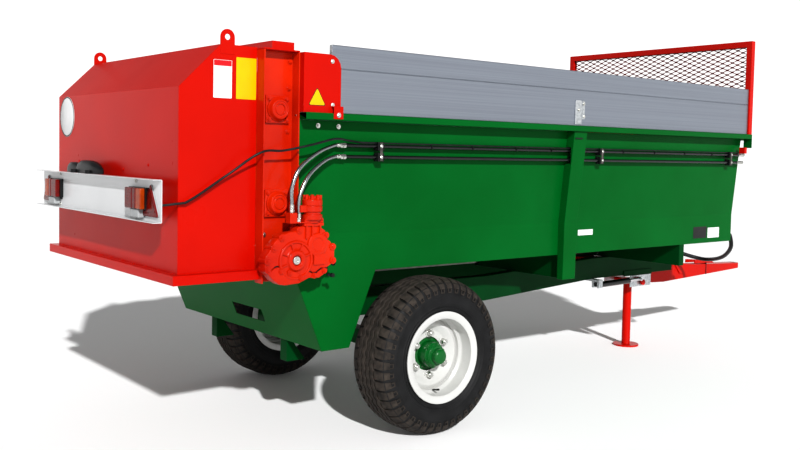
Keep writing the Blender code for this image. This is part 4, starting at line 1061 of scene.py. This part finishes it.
def makeGearbox():
    size = gearbox
    inner, face = size["inner"], size["face"]
    x, z = size["boss"]
    shape = bmesh.new()
    core = size["outline"] + size["joint"] + size["back"]
    addLayers(
        shape, core,
        [(inner, 0.003), (-0.775, 0.0), (face + 0.004, 0.0), (face + 0.001, 0.002), (face, 0.006)],
    )
    lifted = [(a, b - 0.0062) for a, b in size["joint"]]  # the pan below, a dark joint apart
    pan = lifted + [(0.345, 0.846)] + size["pan"]
    addLayers(
        shape, pan,
        [(inner, 0.003), (-0.775, 0.0), (face, 0.0), (face - 0.0035, 0.002), (face - 0.0045, 0.005)],
    )
    gasket = bmesh.new()
    whole = size["outline"] + [(0.655, 0.84)] + list(reversed(size["pan"])) + size["back"]
    addLayers(gasket, whole, [(inner, 0.012), (face + 0.004, 0.009)])
    makePiece("gearboxGasket", gasket, "blackPlastic")
    raised = [
        (0, 0.086), (0.0065, 0.083), (0.0085, 0.079), (0.0075, 0.074), (0.0015, 0.0705), (0.0008, 0.051),
        (0.004, 0.046),
        (0.0135, 0.0415), (0.0155, 0.0375), (0.0155, 0.0275), (0.0125, 0.0255), (0.0125, 0.0225),
        (0.002, 0.0215),
        (0.002, 0),
    ]
    addTurned(shape, raised, (x, face + 0.0004, z), 1, 48, outward=-1)
    for angle in (20, 65, 110, 155, 200):  # ribs from the boss to its ring
        turn = math.radians(angle)
        way = Vector((math.cos(turn), math.sin(turn)))
        across = Vector((-way.y, way.x)) * 0.003
        ends = ((0.04, 1), (0.078, 1), (0.078, -1), (0.04, -1))
        ring = [Vector((x, z)) + way * reach + across * half for reach, half in ends]
        addPrism(shape, ring, 1, face + 0.001, face - 0.0078)
    addBox(shape, (0.572, face - 0.0085, 0.871), (0.6265, face + 0.004, 0.9165))
    cover = [(0, 0.052), (0.007, 0.049), (0.009, 0.045), (0.009, 0.03), (0.0065, 0.028), (0.0065, 0)]
    addTurned(shape, cover, (0.592, face, 0.957), 1, 36, outward=-1)
    for a, b in ((0.53, 0.537), (0.56, 0.566), (0.6, 0.606)):  # upright ribs on the shoulder under the motor
        addPrism(shape, [(a, 0.985), (b, 0.985), (b, 1.046), (a, 1.046)], 1, face + 0.001, face - 0.0085)
    for ex, ez in size["ears"]:
        addPin(shape, ex, ez, inner - 0.002, face - 0.0045, 0.0155)
    for ex, ez in size["jointBolts"]:
        addPin(shape, ex, ez, -0.776, face - 0.009, 0.0125)
    addBox(shape, (0.521, -0.8105, 1.0385), (0.619, -0.7615, 1.0516))
    makePiece("gearboxCasting", shape, "castingRed", "frame", ["floor_gearbox"], 0.0018)
    plugs = bmesh.new()
    filler = [(0, 0.0175), (0.009, 0.0175), (0.01, 0.0165), (0.01, 0.007), (0.006, 0.006), (0.006, 0)]
    addTurned(plugs, filler, (x, face - 0.001, z), 1, 32, outward=-1)
    plug = [(0, 0.0125), (0.005, 0.0125), (0.005, 0.011), (0.001, 0.0105), (0.001, 0)]
    addTurned(plugs, plug, (0.6885, -0.785, 0.8705), 1, 24, 1, -1)
    addPin(plugs, 0.6865, 0.816, -0.775, -0.792, 0.0095, slot=1)
    addRod(plugs, (0.6625, -0.779, 0.82), (0.6865, -0.779, 0.816), 0.006, 12, 1)
    makePiece("gearboxPlugs", plugs, "zincPlate blackPlastic", bevel=0.0006)
    places = [((ex, face - 0.0045, ez), (0, -1, 0)) for ex, ez in size["ears"]]
    places += [((ex, face - 0.009, ez), (0, -1, 0)) for ex, ez in size["jointBolts"]]
    boltsOn("gearboxBolts", places, "castingRed", 0.0078, 0.0046, 0.0105)


motor = {"x": 0.57, "y": -0.7925, "low": 1.0522, "top": 1.184, "radius": 0.0438}


def makeMotor():
    size = motor
    x, y, low, radius = size["x"], size["y"], size["low"], size["radius"]
    shape = bmesh.new()
    steps = [
        (0.0, 0.0), (0.0, 0.03), (0.012, 0.03), (0.0125, radius - 0.002), (0.0145, radius), (0.034, radius),
        (0.036, radius - 0.002), (0.036, radius - 0.007), (0.047, radius - 0.007), (0.047, radius - 0.002),
        (0.049, radius), (0.07, radius), (0.0715, radius - 0.0025), (0.0735, radius - 0.0025),
        (0.075, radius),
        (0.096, radius), (0.1, radius - 0.003), (0.104, radius - 0.009), (0.1045, radius - 0.013),
        (0.112, radius - 0.014),
        (0.114, radius - 0.016), (0.114, 0.0),
    ]
    addTurned(shape, steps, (x, y, low), 2, 48)
    addBox(shape, (x - 0.048, y - 0.0185, low + 0.0005), (x + 0.047, y + 0.03, low + 0.014))
    for i in range(8):  # castellated head
        angle = 2 * math.pi * i / 8 + 0.2
        spot = (x + 0.0335 * math.cos(angle), y + 0.0335 * math.sin(angle))
        addRod(shape, (*spot, low + 0.098), (*spot, low + 0.118), 0.0078, 12)
    for start, end, high in ((x - 0.121, x - 0.0855, low + 0.0445), (x - 0.0865, x - 0.04, low + 0.0048)):
        addBox(shape, (start, -0.8103, low), (end, -0.7745, high))
    addBox(shape, (x - 0.07, -0.8103, low + 0.046), (x - 0.03, -0.776, low + 0.075))
    makePiece("motorBody", shape, "castingRed", "frame", ["floor_motor"], 0.0018)
    places = [((x + dx, y - 0.0145, low + 0.0138), (0, 0, 1)) for dx in (-0.036, 0.038)]
    boltsOn("motorBolts", places, "castingRed", 0.008, 0.007, 0.01)
    swivel = bmesh.new()  # unions that join the two hoses to the hard pipes
    for hz in (1.3854, 1.3355):
        addRod(swivel, (0.7605, -0.742, hz), (0.775, -0.742, hz), 0.0125, 6)
    makePiece("hoseUnions", swivel, "zincPlate", bevel=0.0006)


bearings = {"x": 0.444, "y": 0.7182, "heights": (1.133, 1.532), "bolt": 0.043, "plate": 0.708}
columnBolts = {
    "face": 0.6942,
    "zinc": ((0.366, 1.007), (0.39, 0.998), (0.382, 0.917)),
    "painted": ((0.508, 1.739), (0.505, 1.625), (0.5, 1.44), (0.372, 1.72)),
    "edge": (0.5295, 0.727),
    "edgeHeights": (1.51, 1.2, 1.06),
}


def makeBearings():
    size = bearings
    x = size["x"]
    profile = [
        (-0.009, 0.0525), (-0.004, 0.0515), (-0.0015, 0.0485), (0.004, 0.0455), (0.0125, 0.0425),
        (0.0155, 0.0395), (0.0155, 0.035), (0.0122, 0.0335), (0.0122, 0.026), (0.0165, 0.0245),
        (0.0165, 0.0215), (-0.009, 0.0215),
    ]
    corners = [(dx, dz) for dx in (-size["bolt"], size["bolt"]) for dz in (-size["bolt"], size["bolt"])]
    zinc, painted = [], []
    for word, side in sides:
        shape, places = bmesh.new(), []
        for z in size["heights"]:
            addTurned(shape, profile, (x, side * size["y"], z), 1, 40, outward=side, closed=True)
            places += [((x + dx, side * size["plate"], z + dz), (0, side, 0)) for dx, dz in corners]
        makePiece(f"bearingRings_{word}", shape, "castingRed", bevel=0.0008)
        boltsOn(f"bearingBolts_{word}", places, "castingRed", 0.0085, 0.007, 0.0115)
        out = side * columnBolts["face"]
        edge = columnBolts["edge"]
        zinc += [((a, out, b), (0, side, 0)) for a, b in columnBolts["zinc"]]
        zinc += [((edge[0], side * edge[1], b), (1, 0, 0)) for b in columnBolts["edgeHeights"]]
        painted += [((a, out, b), (0, side, 0)) for a, b in columnBolts["painted"]]
    boltsOn("columnZincBolts", zinc, head=0.0075, height=0.006, washer=0.011)
    boltsOn("columnBolts", painted, "castingRed", 0.0095, 0.0075, 0.0135)


makeGearbox()
makeMotor()
makeBearings()
print("drive made")


# hydraulic pipes along the right side, with clamps, ties and end fittings
pipes = {
    "y": -0.742,
    "runs": ((1.3355, 3.989), (1.3854, 4.005)),  # height and front end of each
    "rear": 0.76,
    "radius": 0.0085,
    "clamps": (0.965, 2.5465, 3.87),
    "ties": (1.28, 1.55, 1.86, 2.13, 2.75, 3.05, 3.36, 3.66),
}


def sheetFace(z):  # outer face of the right side sheet at a height
    return -(0.68 + 0.048 * max(0.0, z - 0.987) / 0.5057)


def makePipes():
    size = pipes
    y = size["y"]
    low, high = (z for z, _ in size["runs"])
    runs, ends = bmesh.new(), bmesh.new()
    for z, front in size["runs"]:
        addRod(runs, (size["rear"], y, z), (front, y, z), size["radius"], 24)
        for start, end, radius, count in (
            (-0.03, -0.012, 0.0125, 6), (-0.012, 0.022, 0.0105, 24), (0.022, 0.04, 0.0125, 6),
        ):
            addRod(ends, (front + start, y, z), (front + end, y, z), radius, count)
    makePiece("pipeRuns", runs, "pipeBlack", "frame", ["hydraulic_pipes"])
    makePiece("pipeEndFittings", ends, "zincPlate", bevel=0.0006)
    blocks, plates, bolts = bmesh.new(), bmesh.new(), []
    for x in size["clamps"]:
        for z in (low, high):  # two half shells with a seam, and the foot that holds them to the sheet
            face = sheetFace(z + 0.018)
            for start, end in ((y - 0.0175, y - 0.0006), (y + 0.0006, min(face - 0.0012, y + 0.0175))):
                addBox(blocks, (x - 0.0175, start, z - 0.0195), (x + 0.0175, end, z + 0.0195))
            addBox(blocks, (x - 0.0125, y + 0.012, z - 0.012), (x + 0.0125, face - 0.0004, z + 0.012))
            bolts.append(((x, y - 0.0195, z), (0, -1, 0)))
        addBox(plates, (x - 0.0075, y - 0.0195, low - 0.017), (x + 0.0075, y - 0.0174, high + 0.017))
    makePiece("clampPlates", plates, "bareSteel", bevel=0.0008)
    makePiece("pipeClamps", blocks, "blackPlastic", bevel=0.0022)
    boltsOn("pipeClampBolts", bolts, head=0.0062, height=0.0045, washer=0.0078)
    rings = bmesh.new()
    band = [(-0.0025, 0.0092), (-0.0025, 0.0104), (0.0025, 0.0104), (0.0025, 0.0092)]
    for x in size["ties"]:  # hold the lamp cable on the upper pipe
        addTurned(rings, band, (x, y, high), 0, 20, closed=True)
        addBox(rings, (x - 0.003, y - 0.0135, high - 0.003), (x + 0.003, y - 0.0095, high + 0.003))
    makePiece("cableTies", rings, "blackPlastic", bevel=0.0004)
    line = smoothPoints(
        [
            (0.9467, y, 1.3995), (1.0, y, 1.3994), (1.3, y - 0.001, 1.3994), (1.6, y + 0.001, 1.3996),
            (2.1, y, 1.3993), (2.6, y, 1.3996), (3.1, y, 1.3993), (3.6, y, 1.3995), (3.9, y, 1.3994),
            (3.98, y, 1.3994),
        ],
        0.05,
    )
    wire = bmesh.new()
    addRings(wire, [circle(tuple(point), 0, 0.0042, 0.0, 10) for point in line])
    makePiece("cableOnPipe", wire, "hoseRubber")


# rear lamp bar: a white channel open to the rear, lamps inside it, reflex triangles, number-plate lamp on top
lampBar = {"rear": -0.11, "web": -0.07, "half": 0.696, "low": 1.062, "high": 1.234, "thick": 0.003}


def roundedTriangle(centre, side, radius, steps=5):  # an upright triangle with round corners, in y and z
    height = side * math.sqrt(3) / 2
    corners = [
        (centre[0] - side / 2, centre[1]), (centre[0] + side / 2, centre[1]), (centre[0], centre[1] + height),
    ]
    middle = (centre[0], centre[1] + height / 3)
    points = []
    for corner, start in zip(corners, (210, 330, 90)):
        way = Vector((middle[0] - corner[0], middle[1] - corner[1])).normalized()
        pivot = Vector(corner) + way * 2 * radius
        for step in range(steps + 1):
            angle = math.radians(start - 60 + 120 * step / steps)
            points.append((pivot.x + radius * math.cos(angle), pivot.y + radius * math.sin(angle)))
    return points


def makeLampBar():
    size = lampBar
    rear, web, half, low, high, thick = (size[key] for key in ("rear", "web", "half", "low", "high", "thick"))
    shape = bmesh.new()
    outline = [
        (rear, low), (web - 0.003, low), (web, low + 0.003), (web, high - 0.003), (web - 0.003, high),
        (rear, high),
        (rear, high - thick), (web - thick, high - thick), (web - thick, low + thick), (rear, low + thick),
    ]
    addPrism(shape, outline, 1, -half, half)
    for _, side in sides:
        sideBox(shape, side, (web - 0.001, 0.43, low + 0.04), (-0.0003, 0.47, high - 0.04))
        sideBox(shape, side, (-0.0045, 0.42, low + 0.034), (-0.0003, 0.48, high - 0.034))
    makePiece("lampBarChannel", shape, "lampBarWhite", "frame", ["lamp_bar"], 0.0007)
    face = web - thick
    bolts = ((-0.0045, 1.108), (-0.0045, 1.188), (face, 1.075), (face, 1.222))
    places = [((x, side * 0.45, z), (-1, 0, 0)) for x, z in bolts for _, side in sides]
    boltsOn("lampBarBolts", places, head=0.0065, height=0.005, washer=0.0095)
    for word, side in sides:
        makeLamp(word, side, face, low)
        makeReflector(word, side, face, low)
    makePlateLamp(high)


def makeLamp(word, side, face, low):
    back = face - 0.0004
    base, foot, lens, flutes = (bmesh.new() for _ in range(4))
    sideBox(base, side, (face - 0.016, 0.412, low + 0.046), (back, 0.578, low + 0.135))
    sideBox(base, side, (face - 0.003, 0.425, low + 0.036), (back, 0.565, low + 0.046))
    makePiece(f"lampBase_{word}", base, "blackPlastic", bevel=0.003)
    sideBox(foot, side, (face - 0.03, 0.455, low + 0.012), (back, 0.54, low + 0.047))
    makePiece(f"lampFoot_{word}", foot, "greyPlastic", bevel=0.004)
    for start, end, slot in ((0.416, 0.488, 0), (0.49, 0.524, 0), (0.526, 0.574, 1)):
        sideBox(lens, side, (face - 0.0365, start, low + 0.048), (face - 0.0155, end, low + 0.133), slot)
    lamp = [f"rear_lamp_{word}"]
    makePiece(f"lampLens_{word}", lens, "redLens amberLens", "frame", lamp, 0.005, 3)
    for row in range(6):  # moulded prisms across the lens
        z = low + 0.06 + 0.0118 * row
        sideBox(flutes, side, (face - 0.0369, 0.425, z), (face - 0.036, 0.4835, z + 0.004))
    makePiece(f"lampFlutes_{word}", flutes, "redLens", bevel=0.0006)


def makeReflector(word, side, face, low):  # a triangle with its rim and its plain centre
    y, z = side * 0.6055, low + 0.0205
    layers = (  # name, finish, bevel, then each level's x, lift, side and corner radius
        (
            "reflexTriangle", "reflexRed", 0.001,
            ((0.0004, 0, 0.157, 0.009), (0.007, 0, 0.157, 0.009), (0.009, 0.0024, 0.149, 0.009)),
        ),
        ("triangleEdge", "greyPlastic", 0.0008, ((0.0003, 0, 0.1605, 0.01), (0.006, 0, 0.1605, 0.01))),
        (
            "triangleCentre", "redLens", 0.0005,
            ((0.0085, 0.0165, 0.102, 0.006), (0.0102, 0.0165, 0.102, 0.006)),
        ),
    )
    for name, finishWord, bevel, levels in layers:
        shape = bmesh.new()
        rings = []
        for depth, lift, length, corner in levels:
            rings.append([(face - depth, a, b) for a, b in roundedTriangle((y, z + lift), length, corner)])
        addRings(shape, rings)
        makePiece(f"{name}_{word}", shape, finishWord, bevel=bevel)


def makePlateLamp(high):
    # low black hood over two bulbs, its right end drawn out to a nose
    housing, stem = bmesh.new(), bmesh.new()
    profile = [  # y, half width and height
        (-0.0285, 0.003, 0.018), (-0.02, 0.008, 0.024), (-0.005, 0.014, 0.031), (0.02, 0.0215, 0.041),
        (0.05, 0.026, 0.0495), (0.085, 0.027, 0.0535), (0.14, 0.027, 0.0538), (0.185, 0.0262, 0.0525),
        (0.205, 0.0235, 0.046), (0.213, 0.02, 0.0375), (0.222, 0.0195, 0.036), (0.235, 0.0215, 0.041),
        (0.27, 0.0225, 0.0435), (0.31, 0.0215, 0.042), (0.324, 0.018, 0.036), (0.3295, 0.013, 0.03),
    ]
    rings = []
    for y, wide, tall in profile:
        y, tall = (y + 0.03) * 1.16 - 0.042, tall * 1.1
        ring = []
        for step in range(16):
            angle = math.pi * step / 15
            ring.append((-0.053 - wide * math.cos(angle), y, high + 0.0006 + tall * math.sin(angle) ** 0.6))
        rings.append(ring)
    addRings(housing, rings)
    makePiece("plateLampHousing", housing, "blackPlastic", "frame", ["plate_lamp"], 0.001)
    for y in (0.06, 0.24):
        addRod(stem, (-0.082, y, high + 0.0006), (-0.082, y, high + 0.016), 0.018, 24)
    makePiece("plateLampFeet", stem, "blackPlastic")


# foils and discs: thin, blank, with plain colour fields
sideFoils = {  # name: finish, then x and z of two corners, on the right side sheet
    "sideFoilSmall": ("whiteFoil", (2.45, 0.908), (2.58, 0.94)),
    "sideFoilDark": ("blackFoil", (3.588, 0.84), (3.739, 0.915)),
    "sideFoilWhite": ("whiteFoil", (3.752, 0.838), (3.885, 0.905)),
}
hoodFoils = {  # name: finish, corners, how far out it lies and its corner radius
    "hoodFoilWhite": ("whiteFoil", (0.15, 1.567), (0.234, 1.722), 0.6894, 0.003),
    "hoodFoilBand": ("redFoil", (0.152, 1.698), (0.232, 1.7205), 0.6899, 0.002),
    "hoodFoilYellow": ("yellowFoil", (0.254, 1.567), (0.348, 1.738), 0.6894, 0.003),
}
cheekFoils = {  # name: finish, height of the foot, side, corner radius and the two levels
    "cheekTriangle": ("yellowFoil", 1.556, 0.082, 0.004, (0.7773, 0.7779)),
    "cheekTriangleEdge": ("blackFoil", 1.5535, 0.0905, 0.005, (0.7771, 0.7775)),
}
roundPlate = {"centre": (-0.0003, 0.567, 1.503), "radius": 0.1}


def foil(name, word, low, high, face, way, corner=0.003, thick=0.0005):
    outline = []
    for turn in range(4):  # the four corners, from the upper front one on
        ca = high[0] - corner if turn in (0, 3) else low[0] + corner
        cb = high[1] - corner if turn < 2 else low[1] + corner
        for step in range(4):
            angle = math.radians(90 * turn + 30 * step)
            outline.append((ca + corner * math.cos(angle), cb + corner * math.sin(angle)))
    shape = bmesh.new()
    addPrism(shape, outline, 1, face, face + way * thick)
    makePiece(name, shape, word)


def makeFoils():
    for word, side in sides:
        for name, (colour, low, high, out, corner) in hoodFoils.items():
            foil(f"{name}_{word}", colour, low, high, side * out, side, corner)
        for name, (colour, foot, length, corner, levels) in cheekFoils.items():
            shape = bmesh.new()
            outline = [(0.597 + a, foot + b) for a, b in roundedTriangle((0.0, 0.0), length, corner)]
            addPrism(shape, outline, 1, *(side * level for level in levels))
            makePiece(f"{name}_{word}", shape, colour)
    for name, (colour, low, high) in sideFoils.items():
        foil(name, colour, low, high, -0.6803, -1)
    radius = roundPlate["radius"]
    disc, edge = bmesh.new(), bmesh.new()
    face = [(0, 0), (0, radius - 0.0005), (0.0012, radius), (0.0022, radius - 0.0015), (0.0022, 0)]
    addTurned(disc, face, roundPlate["centre"], 0, 64, outward=-1)
    makePiece("roundPlate", disc, "whiteFoil")
    line = [
        (level, radius - inset)
        for level, inset in ((0.0018, 0.0065), (0.0027, 0.0065), (0.0027, 0.001), (0.0018, 0.001))
    ]
    addTurned(edge, line, roundPlate["centre"], 0, 64, outward=-1, closed=True)
    makePiece("roundPlateEdge", edge, "blackFoil")


# bolts and welds on the hood, cheeks, rails and posts
def mirrored(*spots):  # bolt places on both sides from x, y and z on the left
    return [((x, side * y, z), (0, side, 0)) for _, side in sides for x, y, z in spots]


def addWeld(name, count, along, step, centre):  # stitch welds where the sheet meets its lip
    bead = bmesh.new()
    half = [(0.011, 0.0), (0.0095, 0.0022), (0.005, 0.0036)]
    addTurned(bead, [(-a, r) for a, r in half] + half[::-1], (0, 0, 0), along, 10)
    repeated(name, bead, count, "redEnamel", step=step, centre=centre)


def makeFixings():
    cheek = mirrored((0.674, 0.7773, 1.747), (0.678, 0.7773, 1.559))
    boltsOn("cheekBolts", cheek, head=0.0065, height=0.005, washer=0.0095)
    rail = mirrored((0.697, 0.7983, 1.515), (0.637, 0.7275, 1.469), (0.746, 0.7275, 1.468))
    boltsOn("railBolts", rail, head=0.0075, height=0.006, washer=0.011)
    hood = [((-0.0003, y, z), (-1, 0, 0)) for y, z in ((-0.401, 1.284), (-0.14, 1.259), (0.401, 1.284))]
    boltsOn("hoodBolts", hood, "redEnamel", 0.0045, 0.003, 0.007)
    addWeld("lipWelds", 11, 1, (0, 0.128, 0), (-0.001, -0.64, 0.8533))
    for word, side in sides:
        addWeld(f"lipSideWelds_{word}", 3, 0, (0.125, 0, 0), (0.045, side * 0.6903, 0.8533))
    block, slot = bmesh.new(), bmesh.new()
    addBox(block, (3.978, -0.789, 1.396), (4.006, -0.748, 1.436))
    makePiece("railEndBlock", block, "redEnamel", bevel=0.002)
    # a thin black strip on the post: painted shade inside its slot
    addBox(slot, (2.288, -0.7806, 1.4515), (2.349, -0.7795, 1.4585))
    makePiece("postSlotPaintedShade", slot, "blackFoil", bevel=0.0004)


# drawbar's top plates, straps, tie and ring
def makeDrawbarParts():
    flange, strap, tie, ring = (bmesh.new() for _ in range(4))
    outline = [(4.6, 0.5485), (4.857, 0.5385), (4.857, 0.5445), (4.84, 0.5525), (4.63, 0.5735), (4.6, 0.5735)]
    for y in (-0.044, 0.036):
        addPrism(flange, outline, 1, y, y + 0.008)
    makePiece("drawbarFlanges", flange, "redEnamel", bevel=0.001)
    for _, side in sides:
        outline = [(4.288, 0.6), (4.361, 0.6), (4.453, 0.487), (4.387, 0.487)]
        addPrism(strap, outline, 1, side * 0.0505, side * 0.0575)
    makePiece("drawbarStraps", strap, "redEnamel", bevel=0.001)
    addBox(tie, (4.7385, -0.0535, 0.458), (4.7455, 0.0535, 0.5485))
    makePiece("drawbarTie", tie, "blackPlastic", bevel=0.0008)
    half = [(0.021, 0.0206), (0.0215, 0.024), (0.0215, 0.03), (0.019, 0.0325)]
    profile = [(-along, radius) for along, radius in half] + half[::-1]
    addTurned(ring, profile, (5.19, 0, 0.498), 2, 48, closed=True)
    makePiece("hitchBush", ring, "bareSteel")


# the stand's hardware under the nose
def addPunched(shape, low, high, centre, radius, y, far):  # a flat upright plate with a round hole
    rim = [low, (high[0], low[1]), high, (low[0], high[1])]
    angles = [math.tau * i / 32 for i in range(32)]
    bore = [(centre[0] + radius * math.cos(a), centre[1] + radius * math.sin(a)) for a in angles]
    edges = []
    for loop in (rim, bore):
        corners = [shape.verts.new((x, y, z)) for x, z in loop]
        edges += [shape.edges.new((corners[i - 1], corners[i])) for i in range(len(corners))]
    filled = bmesh.ops.triangle_fill(shape, use_beauty=True, edges=edges)
    faces = [one for one in filled["geom"] if isinstance(one, bmesh.types.BMFace)]
    grown = bmesh.ops.extrude_face_region(shape, geom=faces, use_keep_orig=True)
    moved = [one for one in grown["geom"] if isinstance(one, bmesh.types.BMVert)]
    bmesh.ops.translate(shape, verts=moved, vec=(0, far - y, 0))


stand = {
    "inner": 0.1106, "outer": 0.1166, "split": 0.524, "pin": (3.83, 0.472), "bore": 0.0133,
    "bolt": (3.925, 0.457),
}


def makeStandParts():
    softened(["stand_leg"], "redEnamel", 0.0015, "stand")
    softened(["cylinder_anchor"], "galvanised", 0.001)
    size = stand
    inner, outer, split = size["inner"], size["outer"], size["split"]
    lower, upper = bmesh.new(), bmesh.new()
    for _, side in sides:
        addPunched(
            lower, (3.705, 0.444), (3.94, split), size["pin"], size["bore"], side * inner, side * outer,
        )
        sideBox(lower, side, (3.705, outer, split - 0.007), (3.94, outer + 0.002, split))
        # upper strip of each stand plate in dark green: painted shade where the bracket lies in the body's
        # shadow
        sideBox(upper, side, (3.63, inner, split + 0.0005), (3.95, outer, 0.5619))
    addPin(lower, *size["bolt"], -outer - 0.003, outer + 0.003, 0.008)
    makePiece("standPlates", lower, "galvanised", "frame", ["stand_bracket"], 0.001)
    # painted shade: the dark green upper strips of the stand plates
    makePiece("standPlateTopsPaintedShade", upper, "frameGreenPaintedShade", bevel=0.001)
    softened(["stand_cylinder"], "pipeBlack", 0.0008, "stand_ram_barrel")
    softened(["stand_cylinder_rod"], "hardChrome", 0.0006, "stand_ram_rod")


def makeShaftCovers():  # the stub's splines and the chain guard's bolts
    spline = bmesh.new()
    for i in range(6):
        angle = math.pi * i / 3
        y, z = 0.0175 * math.cos(angle), 0.712 + 0.0175 * math.sin(angle)
        addRod(spline, (4.06, y, z), (4.138, y, z), 0.0028, 8)
    makePiece("shaftSplines", spline, "bareSteel")
    rows = (((0.56, 0.66), (0.75,)), ((0.5, 0.6), (0.9, 1.0)), ((0.41, 0.47), (1.2, 1.35, 1.5)))
    places = [((x, 0.8123, z), (0, 1, 0)) for across, up in rows for z in up for x in across]
    boltsOn("guardBolts", places, "redEnamel", 0.0075, 0.006, 0.011)


makePipes()
makeLampBar()
makeFoils()
makeFixings()
makeDrawbarParts()
makeStandParts()
makeShaftCovers()
print("details made")
